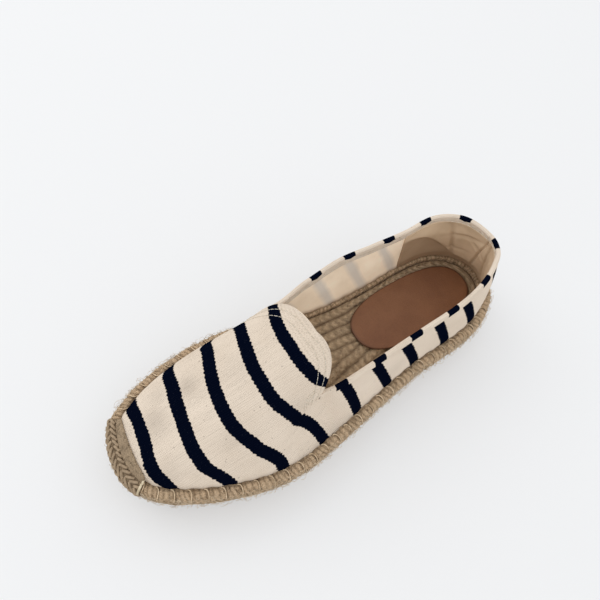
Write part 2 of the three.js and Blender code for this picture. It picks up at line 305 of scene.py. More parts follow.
    def underside(self, x: Array) -> Array:
        """Height of the sole's underside, which is flat at the heel and under the ball.

        Args:
            x: Places along the shoe.

        Returns:
            The heights.
        """
        back, flat_from = self.heel_lift
        high, start, end = self.arch
        spring, rise_from, tip = self.toe_spring
        heel = back * np.clip(1 - x / flat_from, 0, 1) ** 2
        arch = high * np.sin(PI * np.clip((x - start) / (end - start), 0, 1)) ** 2
        return heel + arch + spring * np.clip((x - rise_from) / (tip - rise_from), 0, 1) ** 2

    def at_part(self, side: Side, part: Array | float) -> Array:
        """The turn at a share of the way from the throat to the toe's tip.

        Args:
            side: The side it is on.
            part: The share.

        Returns:
            The turn.
        """
        throat = self.turn_of(self.wall(side).throat)
        turn = throat + (PI - throat) * np.asarray(part, float)
        return turn if side is Side.OUTER else 2 * PI - turn

    def upper(self, turn: Array, share: Array) -> Array:
        """The upper's outer face.

        Args:
            turn: The place around the sole.
            share: 0 at the seam, 1 at the collar's edge or the shoulder, 2 at the vamp's ridge.

        Returns:
            The points there.
        """
        turn, share = np.broadcast_arrays(np.asarray(turn, float), np.asarray(share, float))
        outer = turn <= PI
        sides = {side: self.wall(side) for side in Side}
        foot, inwards = self.inset(turn, self.seam_inset), -self.outwards(turn)
        x = foot[..., 0]

        def pick(read: Callable[[Wall], Array]) -> Array:
            """Reads each point's own side."""
            return np.where(outer, read(sides[Side.OUTER]), read(sides[Side.INNER]))

        into, up, bow = pick(lambda w: w.into(x)), pick(lambda w: w.up(x)), pick(lambda w: w.bow(x))

        def at(share_in: Array | float, share_up: float) -> Array:
            """A point on the way up the wall."""
            flat = foot + inwards * (into * share_in)[..., None]
            return np.concatenate([flat, (self.seam(x) + self.gap + up * share_up)[..., None]], -1)

        low, middle, shoulder = at(0, 0), at(bow, self.halfway), at(1, 1)
        t = share[..., None]
        wall = (1 - t) ** 2 * low + 2 * t * (1 - t) * middle + t * t * shoulder

        throat = pick(lambda w: self.turn_of(w.throat) + 0 * x)
        part = (np.minimum(turn, 2 * PI - turn) - throat) / (PI - throat)
        ridge_x = Curve.through(self.sections)(part)
        height = Curve.through(self.ridge, 2)
        top = np.stack([ridge_x, Curve.through(self.ridge)(ridge_x), height(ridge_x)], -1)
        vamp = smoothstep(ridge_x, self.tongue_start, self.vamp_start)[..., None]
        hold_low = self.hold_shoulder[0] + (self.hold_shoulder[1] - self.hold_shoulder[0]) * vamp
        hold_high = self.hold_crown[0] + (self.hold_crown[1] - self.hold_crown[0]) * vamp
        reach = np.linalg.norm(shoulder - top, axis=-1, keepdims=True)
        climb = unit(shoulder - middle) * reach * hold_low + shoulder
        crown = top + (shoulder - top) * hold_high
        fall = (height(ridge_x + 1) - height(ridge_x - 1)) / 2
        crown[..., 2] = top[..., 2] + fall * (crown[..., 0] - top[..., 0])
        lag = pick(lambda w: w.lag(part))
        climb[..., 0] -= lag * self.lower_lag
        crown[..., 0] -= lag
        t = np.clip(share - 1, 0, 1)[..., None]
        lower = (1 - t) ** 3 * shoulder + 3 * t * (1 - t) ** 2 * climb
        vamp_points = lower + 3 * t * t * (1 - t) * crown + t**3 * top
        beyond = (share > 1) & (part >= -TINY)
        return np.where(beyond[..., None], vamp_points, wall)

    def facing(self, turn: Array, share: Array) -> Array:
        """The direction out of the upper's outer face.

        Args:
            turn: The place around the sole.
            share: The share of the way up.

        Returns:
            The directions.
        """
        step = 0.004
        share = np.minimum(share, 1.995)
        around = self.upper(turn + step, share) - self.upper(turn - step, share)
        climb = self.upper(turn, share + step) - self.upper(turn, share - step)
        return unit(np.cross(climb, around))


# --- Meshes ---


@dataclass
class Sheet:
    """Points, faces, cloth coordinates and named values, before they are a mesh.

    Args:
        points: One row for each point.
        faces: Point numbers, turning left as seen from outside.
        uv: Cloth coordinates of each point.
        fields: Named values of each point.
        lap: The distance around a closed ring, where the cloth coordinates start again.
    """

    points: Array
    faces: list[tuple[int, ...]]
    uv: Array
    fields: dict[str, Array] = field(default_factory=dict)
    lap: float = 0.0

    def normals(self) -> Array:
        """The direction out of the sheet at each point."""
        total = np.zeros_like(self.points)
        for corners in (3, 4):
            faces = np.array([face for face in self.faces if len(face) == corners])
            if len(faces):
                a, b, c = (self.points[faces[:, i]] for i in (0, 1, 2))
                d = self.points[faces[:, -1]] if corners == 4 else c
                facing = np.cross(b - a, c - a) + (np.cross(c - a, d - a) if corners == 4 else 0)
                for i in range(corners):
                    np.add.at(total, faces[:, i], facing)
        return unit(total)

    def face_up(self) -> None:
        """Turns every face over if the sheet faces down."""
        if self.normals()[:, 2].mean() < 0:
            self.faces = [face[::-1] for face in self.faces]

    def steepness(self, values: Array) -> Array:
        """How fast a value changes along the sheet.

        Args:
            values: The value at each point.

        Returns:
            Its change for each millimetre, at each point.
        """
        total, weight = np.zeros(len(self.points)), np.zeros(len(self.points))
        faces = np.array([(f[0], f[i], f[i + 1]) for f in self.faces for i in range(1, len(f) - 1)])
        a, b, c = (self.points[faces[:, i]] for i in range(3))
        va, vb, vc = (values[faces[:, i]][:, None] for i in range(3))
        normal = np.cross(b - a, c - a)
        area = np.maximum(np.linalg.norm(normal, axis=1), TINY)
        out = normal / area[:, None]
        slope = va * np.cross(out, c - b) + vb * np.cross(out, a - c) + vc * np.cross(out, b - a)
        steep = np.linalg.norm(slope, axis=1)
        for i in range(3):
            np.add.at(total, faces[:, i], steep)
            np.add.at(weight, faces[:, i], area)
        return total / np.maximum(weight, TINY)

    def thickened(self, near: Array | float, far: Array | float, roll: float = 0.0,
                  level: Array | None = None) -> "Sheet":
        """Closes the sheet into a wall.

        Args:
            near: How far out of the sheet the wall's outer face stands.
            far: How far out its inner face stands.
            roll: How far a free edge swells.
            level: Points whose wall stays level.

        Returns:
            The closed wall.
        """
        out = self.normals()
        if level is not None:
            out[level, 2] = 0
            out = unit(out)
        count = len(self.points)
        near, far = (np.broadcast_to(np.asarray(value, float), (count,))[:, None] for value in (near, far))
        directed = {pair for face in self.faces for pair in zip(face, face[1:] + face[:1])}
        rim = [(i, j) for i, j in directed if (j, i) not in directed]
        swell = np.zeros_like(self.points)
        for i, j in sorted(rim):
            away = np.cross(self.points[j] - self.points[i], out[i] + out[j])
            swell[i] += away
            swell[j] += away
        middle = self.points + out * (near + far) / 2 + unit(swell) * roll
        edge = sorted({i for pair in rim for i in pair})
        number = {i: 2 * count + k for k, i in enumerate(edge)}
        faces = list(self.faces) + [tuple(i + count for i in reversed(face)) for face in self.faces]
        for i, j in sorted(rim):
            faces.append((j, i, number[i], number[j]))
            faces.append((number[j], number[i], i + count, j + count))
        keep = np.array(list(range(count)) * 2 + edge)
        points = np.concatenate([self.points + out * near, self.points + out * far, middle[edge]])
        fields = {name: values[keep] for name, values in self.fields.items()}
        return Sheet(points, faces, self.uv[keep], fields, self.lap)

    def mesh(self, name: str, length: float) -> bpy.types.Mesh:
        """Makes a mesh in metres, centred on the sole.

        Args:
            name: The mesh's name.
            length: The sole's length.

        Returns:
            The mesh.
        """
        mesh = bpy.data.meshes.new(name)
        points = (self.points - np.array([length / 2, 0, 0])) * MILLIMETRE
        mesh.from_pydata(points.tolist(), [], [tuple(map(int, face)) for face in self.faces])
        mesh.polygons.foreach_set("use_smooth", [True] * len(mesh.polygons))
        loops = np.zeros(len(mesh.loops), int)
        mesh.loops.foreach_get("vertex_index", loops)
        uv = self.uv[loops].copy()
        if self.lap:
            sizes = np.array([len(face) for face in self.faces])
            starts = np.concatenate([[0], np.cumsum(sizes)[:-1]])
            highest = np.repeat(np.maximum.reduceat(uv[:, 0], starts), sizes)
            uv[:, 0] += np.where(uv[:, 0] < highest - self.lap / 2, self.lap, 0)
        layer = mesh.uv_layers.new(name=CLOTH_UV)
        layer.data.foreach_set("uv", uv.ravel())
        for key, values in self.fields.items():
            mesh.attributes.new(key, "FLOAT", "POINT").data.foreach_set("value", values.astype(float))
        mesh.validate()
        return mesh


# --- Node graphs ---


class Value:
    """A node's output, with Python's operators for its maths.

    Args:
        graph: The graph that the node is in.
        socket: The output.
    """

    def __init__(self, graph: "Graph", socket: bpy.types.NodeSocket) -> None:
        """Wraps a socket."""
        self.graph = graph
        self.socket = socket

    def math(self, operation: str, *others: "Value | float", clamp: bool = False) -> "Value":
        """Adds a Math node, with its result kept between 0 and 1 where clamp says so."""
        settings = {"operation": operation, "use_clamp": clamp}
        return self.graph.node("ShaderNodeMath", settings, dict(enumerate((self, *others))))

    def __add__(self, other: "Value | float") -> "Value":
        """self + other."""
        return self.math("ADD", other)

    def __sub__(self, other: "Value | float") -> "Value":
        """self - other."""
        return self.math("SUBTRACT", other)

    def __rsub__(self, other: float) -> "Value":
        """other - self."""
        return (self * -1).math("ADD", other)

    def __mul__(self, other: "Value | float") -> "Value":
        """self * other."""
        return self.math("MULTIPLY", other)

    def __truediv__(self, other: "Value | float") -> "Value":
        """self / other."""
        return self.math("DIVIDE", other)

    __radd__ = __add__
    __rmul__ = __mul__

    def wave(self, pitch: float) -> "Value":
        """A sine wave of a pitch, from -1 to 1."""
        return (self * (2 * PI / pitch)).math("SINE")

    def rise(self, low: float, high: float) -> "Value":
        """0 below low and 1 above high, in a straight line between."""
        return ((self - low) / (high - low)).math("ADD", 0.0, clamp=True)


class Graph:
    """A node tree under construction.

    Args:
        tree: The tree.
    """

    def __init__(self, tree: bpy.types.NodeTree) -> None:
        """Starts on a tree."""
        self.tree = tree

    def node(self, kind: str, settings: Mapping[str, object] | None = None,
             inputs: Mapping[str | int, object] | None = None, output: str | int = 0) -> Value:
        """Adds one node.

        Args:
            kind: The node's type.
            settings: Its settings, which are set first.
            inputs: A value or link for each input, by its name or number.
            output: The output that is used.

        Returns:
            That output.
        """
        node = self.tree.nodes.new(kind)
        for key, setting in (settings or {}).items():
            setattr(node, key, setting)
        for key, value in (inputs or {}).items():
            self.feed(node, key, value)
        return Value(self, node.outputs[output])

    def feed(self, node: bpy.types.Node, key: str | int, value: object) -> None:
        """Sets or links one input of a node.

        Args:
            node: The node.
            key: The input's name or number.
            value: A link, or the input's value.
        """
        socket = node.inputs[key]
        if isinstance(value, Value):
            self.tree.links.new(value.socket, socket)
        elif isinstance(value, tuple) and len(value) == 3 and socket.type == "RGBA":
            socket.default_value = (*value, 1)
        else:
            socket.default_value = value


class Shader(Graph):
    """A material's node tree.

    Args:
        material: The material.
    """

    def __init__(self, material: bpy.types.Material) -> None:
        """Starts an empty tree with its shader.

        Args:
            material: The material.
        """
        material.use_nodes = True
        super().__init__(material.node_tree)
        self.tree.nodes.clear()
        self.surface = self.node("ShaderNodeBsdfPrincipled")
        end = self.tree.nodes.new("ShaderNodeOutputMaterial")
        self.feed(end, "Surface", self.surface)

    def set(self, **values: object) -> None:
        """Sets or links the shader's own sockets; an underscore stands for a space."""
        for key, value in values.items():
            self.feed(self.surface.socket.node, key.replace("_", " "), value)

    def place(self) -> Value:
        """Where a point is on its piece, in metres."""
        return self.node("ShaderNodeTexCoord", output="Object")

    def cloth(self) -> tuple[Value, Value]:
        """Where a point is along and around its piece, in millimetres."""
        uv = self.node("ShaderNodeUVMap", {"uv_map": CLOTH_UV})
        split = self.node("ShaderNodeSeparateXYZ", None, {0: uv})
        return split, Value(self, split.socket.node.outputs[1])

    def named(self, name: str) -> Value:
        """A named value of the mesh."""
        return self.node("ShaderNodeAttribute", {"attribute_name": name}, output="Fac")

    def join(self, x: Value | float, y: Value | float, z: Value | float = 0.0) -> Value:
        """A vector of three numbers."""
        return self.node("ShaderNodeCombineXYZ", None, {0: x, 1: y, 2: z})

    def noise(self, at: Value, scale: float, detail: float = 2.0, rough: float = 0.5) -> Value:
        """Soft noise from 0 to 1, with finer layers by detail and their strength by rough."""
        return self.node("ShaderNodeTexNoise", None,
                         {"Vector": at, "Scale": scale, "Detail": detail, "Roughness": rough})

    def mix(self, share: Value | float, first: Value | Colour, second: Value | Colour) -> Value:
        """Mixes two colours.

        Args:
            share: How much of the second.
            first: The first colour.
            second: The second colour.

        Returns:
            The mixed colour.
        """
        node = self.node("ShaderNodeMix", {"data_type": "RGBA"}).socket.node
        for key, value in ((0, share), (6, first), (7, second)):
            self.feed(node, key, value)
        return Value(self, node.outputs[2])

    def bump(self, height: Value, depth: float, under: Value | None = None) -> Value:
        """Turns a height into a normal.

        Args:
            height: The height, about 0 to 1.
            depth: The depth of one, in metres.
            under: A coarser normal that it goes on.

        Returns:
            The normal.
        """
        inputs = {"Height": height, "Distance": depth, "Strength": 1.0}
        if under is not None:
            inputs["Normal"] = under
        return self.node("ShaderNodeBump", None, inputs)


# --- Finishes ---


@dataclass(frozen=True)
class Finish:
    """A material.

    Each kind has a colour for every part of its pattern, distances in millimetres, depths in metres.

    Args:
        name: Its name.
    """

    name: str

    def paint(self, shader: Shader) -> None:
        """Builds the material's nodes in its tree."""
        raise NotImplementedError

    def make(self) -> bpy.types.Material:
        """Makes the material once, and gives it again after that."""
        known = bpy.data.materials.get(self.name)
        if known:
            return known
        material = bpy.data.materials.new(self.name)
        self.paint(Shader(material))
        return material


@dataclass(frozen=True)
class Canvas(Finish):
    """Ribbed cotton canvas, cream with navy stripes woven in, whose edges have ragged teeth."""

    cream: Colour = (0.83, 0.705, 0.575)
    shade: Colour = (0.68, 0.555, 0.43)
    navy: Colour = (0.0012, 0.0024, 0.0085)
    navy_highlight: Colour = (0.004, 0.007, 0.018)
    slubs: Colour = (0.90, 0.79, 0.66)
    hollows: Colour = (0.45, 0.35, 0.25)
    flecks: Colour = (0.20, 0.17, 0.14)
    dirt_and_shade: Colour = (0.38, 0.32, 0.26)
    fluff: Colour = (0.06, 0.06, 0.08)
    rib: float = 1.15
    pick: float = 0.9
    tooth: float = 2.3
    ragged: float = 1.0
    depth: float = 0.00024

    def paint(self, shader: Shader) -> None:
        """Builds the weave with painted shade between its ribs and a painted highlight on its navy, the
        stripes, and the darkening from soil and painted shade.

        Args:
            shader: The material's tree.
        """
        along, around = shader.cloth()
        place = shader.place()
        drift = shader.noise(place, 260, 2) * 0.9
        ribs = (around + drift * 0.35).wave(self.rib) * 0.5 + 0.5
        picks = (along + around.wave(self.rib * 2) * 0.4).wave(self.pick) * 0.5 + 0.5
        slub = shader.noise(shader.join(along * 0.05, around * 1.3), 1.0, 3, 0.6)
        fuzz = shader.noise(place, 1900, 2, 0.6)
        wander = shader.noise(place, 430, 1)
        teeth = (around + drift * 2).wave(self.tooth) * 0.2 + (fuzz - 0.5) * 0.8 + (wander - 0.5) * 1.1
        edge = shader.named("navy") + teeth * self.ragged
        stripe = edge.rise(-0.16, 0.16)
        wide = shader.noise(place, 28, 2)
        blotch = shader.noise(place, 75, 3, 0.6).rise(0.52, 0.8)
        cream = shader.mix(wide.rise(0.35, 0.7) * 0.45 + blotch * 0.25, self.cream, self.shade)
        cream = shader.mix(slub.rise(0.45, 0.8) * 0.22, cream, self.slubs)
        # Painted shade: the weave is darker between its ribs and picks.
        cream = shader.mix((1 - ribs) * (1 - picks) * 0.32, cream, self.hollows)
        speck = shader.noise(place, 620, 1).rise(0.735, 0.78) * 0.5
        cream = shader.mix(speck, cream, self.flecks)
        # Soil and painted shade darken the cream where the mesh asks for it.
        cream = shader.mix(shader.named("soil_and_shade") * 0.64, cream, self.dirt_and_shade)
        # Painted highlight: the navy is lighter on top of its ribs and picks.
        navy = shader.mix(ribs * picks * 0.6, self.navy, self.navy_highlight)
        lint = shader.noise(place, 1500, 1).rise(0.70, 0.76) * 0.25
        navy = shader.mix(lint, navy, self.fluff)
        shader.set(Base_Color=shader.mix(stripe, cream, navy), Roughness=0.92 - ribs * 0.05,
                   Specular_IOR_Level=0.0)
        weave = ribs * 0.6 + picks * 0.35 + fuzz * 0.35
        under = shader.bump(slub * 0.7 + wide * 1.2, 0.00045)
        shader.set(Normal=shader.bump(weave, self.depth, under))


@dataclass(frozen=True)
class Lining(Finish):
    """Thin cotton lining with a painted glow for the light that comes through it, and a painted grey shadow
    where the stripes lie behind it.
    """

    colour: Colour = (0.90, 0.765, 0.60)
    shade: Colour = (0.74, 0.60, 0.445)
    stripe_shadow: Colour = (0.47, 0.45, 0.43)
    dirt_and_shade: Colour = (0.25, 0.155, 0.09)
    show: float = 0.6
    glow: float = 0.19
    weave: float = 0.7

    def paint(self, shader: Shader) -> None:
        """Builds the plain weave, its creases, the painted shadow of the stripes, painted shade and a
        painted glow.

        Args:
            shader: The material's tree.
        """
        along, around = shader.cloth()
        place = shader.place()
        wide = shader.noise(place, 45, 3, 0.55)
        weave = along.wave(self.weave) * around.wave(self.weave) * 0.25 + 0.5
        colour = shader.mix(wide.rise(0.35, 0.72), self.colour, self.shade)
        # Painted shadow: the stripes behind the lining darken it to grey.
        if self.show:
            behind = (shader.named("navy") + (wide - 0.5) * 3).rise(-1.2, 1.8)
            colour = shader.mix(behind * self.show, colour, self.stripe_shadow)
        # Painted shade darkens the lining at its foot, and in the heel lining's pocket and creases.
        colour = shader.mix(shader.named("soil_and_shade") * 0.85, colour, self.dirt_and_shade)
        shader.set(Base_Color=colour, Roughness=0.9 - wide * 0.1, Specular_IOR_Level=0.1)
        # Painted light: the lining glows in its own colour, for the light that would come through the
        # canvas.
        shader.set(Emission_Color=colour, Emission_Strength=self.glow)
        under = shader.bump(wide, 0.0006)
        shader.set(Normal=shader.bump(weave + shader.noise(place, 900, 2) * 0.5, 0.00010, under))


@dataclass(frozen=True)
class Jute(Finish):
    """Jute yarn, whose fibres are drawn out along a piece or around it."""

    light: Colour = (0.98, 0.735, 0.485)
    dark: Colour = (0.38, 0.24, 0.135)
    fibre: tuple[float, float] = (1.1, 1.5)
    ply: float = 2.4
    depth: float = 0.0006
    dull: Colour = (0.60, 0.44, 0.275)
    pale: Colour = (0.97, 0.80, 0.57)
    hollows: Colour = (0.12, 0.07, 0.036)

    def paint(self, shader: Shader) -> None:
        """Builds the twist, the fibres, their uneven colour and the painted shade in the hollows.

        Args:
            shader: The material's tree.
        """
        along, around = shader.cloth()
        place = shader.place()
        wander = shader.noise(place, 330, 2)
        twist = (along + around * 0.9 + wander * 1.6).wave(self.ply) * 0.5 + 0.5
        strands = shader.join(along * self.fibre[0] + wander, around * self.fibre[1])
        fibres = shader.noise(strands, 1.7, 4, 0.7)
        wide = shader.noise(place, 60, 3)
        fine = shader.noise(place, 1100, 4, 0.75)
        knots = shader.noise(place, 330, 4, 0.75).rise(0.53, 0.68)
        colour = shader.mix(fibres.rise(0.30, 0.70), self.dark, self.light)
        colour = shader.mix(wide.rise(0.35, 0.75) * 0.45, colour, self.dull)
        colour = shader.mix(fine.rise(0.60, 0.74) * 0.5, colour, self.pale)
        colour = shader.mix(knots * 0.75, colour, self.dark)
        # Painted shade: the jute darkens where its rise is low, in grooves, slits and seams and at the
        # floor.
        colour = shader.mix((1 - shader.named("rise")) * 0.8, colour, self.hollows)
        shader.set(Base_Color=colour, Roughness=0.97 - fibres * 0.12, Specular_IOR_Level=0.15)
        under = shader.bump(twist * 0.6 + fibres - knots, self.depth)
        shader.set(Normal=shader.bump(fine, 0.0004, under))


@dataclass(frozen=True)
class Thread(Finish):
    """Twisted sewing thread, with darker fibres in it."""

    colour: Colour = (0.70, 0.60, 0.44)
    dark: Colour = (0.36, 0.28, 0.17)

    def paint(self, shader: Shader) -> None:
        """Builds the twist and its uneven colour.

        Args:
            shader: The material's tree.
        """
        place = shader.place()
        coarse, fine = shader.noise(place, 380, 2), shader.noise(place, 2600, 3, 0.7)
        colour = shader.mix(coarse.rise(0.35, 0.7), self.colour, self.dark)
        shader.set(Base_Color=shader.mix(fine.rise(0.55, 0.8) * 0.5, colour, self.dark), Roughness=0.9,
                   Specular_IOR_Level=0.2)
        shader.set(Normal=shader.bump(fine + coarse * 0.5, 0.0002))


@dataclass(frozen=True)
class Leather(Finish):
    """Brown lining leather, rubbed in places and dark in its grain and at its edge."""

    colour: Colour = (0.175, 0.068, 0.027)
    worn: Colour = (0.225, 0.095, 0.04)
    dark: Colour = (0.065, 0.026, 0.012)

    def paint(self, shader: Shader) -> None:
        """Builds the grain, the rubbed places and the darker edge.

        Args:
            shader: The material's tree.
        """
        place = shader.place()
        wide, fine = shader.noise(place, 38, 3, 0.6), shader.noise(place, 1100, 3, 0.65)
        cells = shader.node("ShaderNodeTexVoronoi", {"feature": "DISTANCE_TO_EDGE"},
                            {"Vector": place, "Scale": 900.0})
        colour = shader.mix(wide.rise(0.35, 0.72), self.colour, self.worn)
        colour = shader.mix(fine.rise(0.5, 0.8) * 0.3, colour, self.dark)
        colour = shader.mix(shader.named("soil_and_shade"), colour, self.dark)
        shader.set(Base_Color=colour, Roughness=0.50 + fine * 0.16, Specular_IOR_Level=0.4)
        under = shader.bump(wide, 0.0004)
        shader.set(Normal=shader.bump(cells * 2 + fine * 0.5, 0.00009, under))


@dataclass(frozen=True)
class Rubber(Finish):
    """Thin tan rubber with crossed ribs and grit, rubbed in places."""

    colour: Colour = (0.17, 0.125, 0.085)
    worn: Colour = (0.27, 0.215, 0.15)
    grit: Colour = (0.09, 0.07, 0.05)
    rib: float = 3.2

    def paint(self, shader: Shader) -> None:
        """Builds the ribs, the grit and the worn places.

        Args:
            shader: The material's tree.
        """
        place = shader.place()
        wide, fine = shader.noise(place, 40, 3, 0.6), shader.noise(place, 1500, 3, 0.7)
        split = shader.node("ShaderNodeSeparateXYZ", None, {0: place})
        across = Value(shader, split.socket.node.outputs[1])
        pitch = self.rib * MILLIMETRE
        ribs = (split + across).wave(pitch) * (split - across).wave(pitch)
        colour = shader.mix(wide.rise(0.35, 0.7), self.colour, self.worn)
        colour = shader.mix(fine.rise(0.58, 0.75) * 0.4, colour, self.grit)
        shader.set(Base_Color=colour, Roughness=0.72 + fine * 0.15, Specular_IOR_Level=0.35)
        under = shader.bump(ribs * 0.5 + 0.5, 0.0004)
        shader.set(Normal=shader.bump(fine, 0.00012, under))


@dataclass(frozen=True)
class PaleFloor(Finish):
    """A plain pale floor that gives off a little light, which softens the shadow."""

    colour: Colour = (0.52, 0.52, 0.52)
    glow: float = 0.68

    def paint(self, shader: Shader) -> None:
        """Sets the floor's one colour and its light."""
        shader.set(Base_Color=self.colour, Roughness=0.9, Specular_IOR_Level=0.05)
        shader.set(Emission_Color=self.colour, Emission_Strength=self.glow)


# --- Pieces ---


class Maker:
    """Turns sheets and paths into pieces of the shoe.

    Args:
        last: The shoe's form.
    """

    def __init__(self, last: Last) -> None:
        """Keeps the form that places everything."""
        self.last = last

    def piece(self, name: str, sheet: Sheet, finish: Finish, slot: str,
              replaces: Sequence[str] = ()) -> None:
        """Makes a piece of the shoe from a closed sheet.

        Args:
            name: The piece's name.
            sheet: Its closed sheet.
            finish: Its material.
            slot: Not used.
            replaces: CAD nodes that it stands for.
        """
        obj = bpy.data.objects.new(name, sheet.mesh(name, self.last.length))
        bpy.context.scene.collection.objects.link(obj)
        obj.data.materials.append(finish.make())
        self.settle(obj, replaces)

    def settle(self, obj: bpy.types.Object, replaces: Sequence[str] = ()) -> None:
        """Ties a finished object to the frame, and reports it.

        Args:
            obj: The object.
            replaces: CAD nodes that it stands for.
        """
        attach(obj, "root")
        if replaces:
            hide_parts(*replaces)
        log.info("%s: %d faces", obj.name, len(obj.data.polygons))

    def threads(self, name: str, paths: Sequence[Array], finish: Finish, slot: str, radius: float,
                sides: int = 6) -> None:
        """Lays round thread along paths with Geometry Nodes.

        Args:
            name: The piece's name.
            paths: The middle line of each thread, in millimetres.
            finish: The thread's material.
            slot: Not used.
            radius: The thread's radius, in millimetres.
            sides: Faces around the thread.
        """
        starts = np.cumsum([0] + [len(path) for path in paths])
        edges = [(s + i, s + i + 1) for s, path in zip(starts, paths) for i in range(len(path) - 1)]
        points = (np.concatenate(paths) - np.array([self.last.length / 2, 0, 0])) * MILLIMETRE
        mesh = bpy.data.meshes.new(name + "_path")
        mesh.from_pydata(points.tolist(), [tuple(map(int, e)) for e in edges], [])
        obj = bpy.data.objects.new(name, mesh)
        bpy.context.scene.collection.objects.link(obj)
        tree = self.thread_tree(name + "_nodes")
        modifier = obj.modifiers.new("threads", "NODES")
        modifier.node_group = tree
        values = {"Radius": radius * MILLIMETRE, "Sides": sides, "Finish": finish.make()}
        for item in tree.interface.items_tree:
            if item.name in values:
                modifier[item.identifier] = values[item.name]
        graph = bpy.context.evaluated_depsgraph_get()
        solid = bpy.data.meshes.new_from_object(obj.evaluated_get(graph), depsgraph=graph)
        obj.modifiers.clear()
        obj.data = solid
        solid.name = name
        bpy.data.meshes.remove(mesh)
        solid.polygons.foreach_set("use_smooth", [True] * len(solid.polygons))
        self.settle(obj)

    def thread_tree(self, name: str) -> bpy.types.NodeTree:
        """Builds the tree that lays round thread along every path.

        Args:
            name: The tree's name.

        Returns:
            The tree.
        """
        tree = bpy.data.node_groups.new(name, "GeometryNodeTree")
        kinds = (("Geometry", "NodeSocketGeometry"), ("Radius", "NodeSocketFloat"),
                 ("Sides", "NodeSocketInt"), ("Finish", "NodeSocketMaterial"))
        for label, kind in kinds:
            tree.interface.new_socket(label, in_out="INPUT", socket_type=kind)
        tree.interface.new_socket("Geometry", in_out="OUTPUT", socket_type="NodeSocketGeometry")
        graph = Graph(tree)
        given = graph.node("NodeGroupInput").socket.node.outputs
        paths = graph.node("GeometryNodeMeshToCurve", None, {"Mesh": Value(graph, given["Geometry"])})
        ring = graph.node("GeometryNodeCurvePrimitiveCircle", None, {
            "Resolution": Value(graph, given["Sides"]), "Radius": Value(graph, given["Radius"])})
        tube = graph.node("GeometryNodeCurveToMesh", None, {
            "Curve": paths, "Profile Curve": ring, "Fill Caps": True})
        whole = graph.node("GeometryNodeRealizeInstances", None, {0: tube})
        done = graph.node("GeometryNodeSetMaterial", None, {
            "Geometry": whole, "Material": Value(graph, given["Finish"])})
        end = tree.nodes.new("NodeGroupOutput")
        graph.feed(end, 0, done)
        return tree


def loft(rings: Array, uv: Array, rise: Array | None = None, ends: bool = True, lap: float = 0.0) -> Sheet:
    """Skins closed rings into a closed sheet that faces outwards.

    Args:
        rings: Points by ring and by place around it.
        uv: Cloth coordinates in the same order.
        rise: How far each point stands out of its hollows, from 0 to 1; where it is low the jute is painted
            darker as shade.
        ends: Whether it stops at its first and last ring, rather than closing on itself.
        lap: The distance around a closed path.

    Returns:
        The sheet.
    """
    count, around = rings.shape[:2]
    faces: list[tuple[int, ...]] = []
    for k in range(count - 1 if ends else count):
        here, there = k * around, (k + 1) % count * around
        for i in range(around):
            j = (i + 1) % around
            faces.append((here + i, here + j, there + j, there + i))
    if ends:
        faces.append(tuple(range(around))[::-1])
        faces.append(tuple((count - 1) * around + i for i in range(around)))
    points = rings.reshape(-1, 3)
    middle = points.mean(0)
    volume = sum(
        float(np.dot(points[f[0]] - middle, np.cross(points[f[i]] - middle, points[f[i + 1]] - middle)))
        for f in faces for i in range(1, len(f) - 1)
    )
    if volume < 0:
        faces = [face[::-1] for face in faces]
    values = np.ones(len(points)) if rise is None else rise.reshape(-1)
    return Sheet(points, faces, uv.reshape(-1, 2), {"rise": values, "soil_and_shade": 1 - values}, lap)


@dataclass(frozen=True)
class EdgeWalk:
    """Even steps around the sole's edge.

    Args:
        last: The shoe's form.
        samples: How finely the edge is measured.
    """

    last: Last
    samples: int = 4000

    def table(self) -> tuple[Array, Array]:
        """Turns around the edge and the distance walked to each."""
        turn = np.linspace(0, 2 * PI, self.samples + 1)
        return turn, distances(self.last.edge(turn))

    def lap(self) -> float:
        """The distance all the way around."""
        return float(self.table()[1][-1])

    def turns(self, distance: Array) -> Array:
        """The turns at distances walked from the heel's tip."""
        turn, walked = self.table()
        return np.interp(np.mod(distance, walked[-1]), walked, turn)

    def distance(self, turns: Array) -> Array:
        """The distances walked to turns."""
        turn, walked = self.table()
        return np.interp(np.mod(turns, 2 * PI), turn, walked)


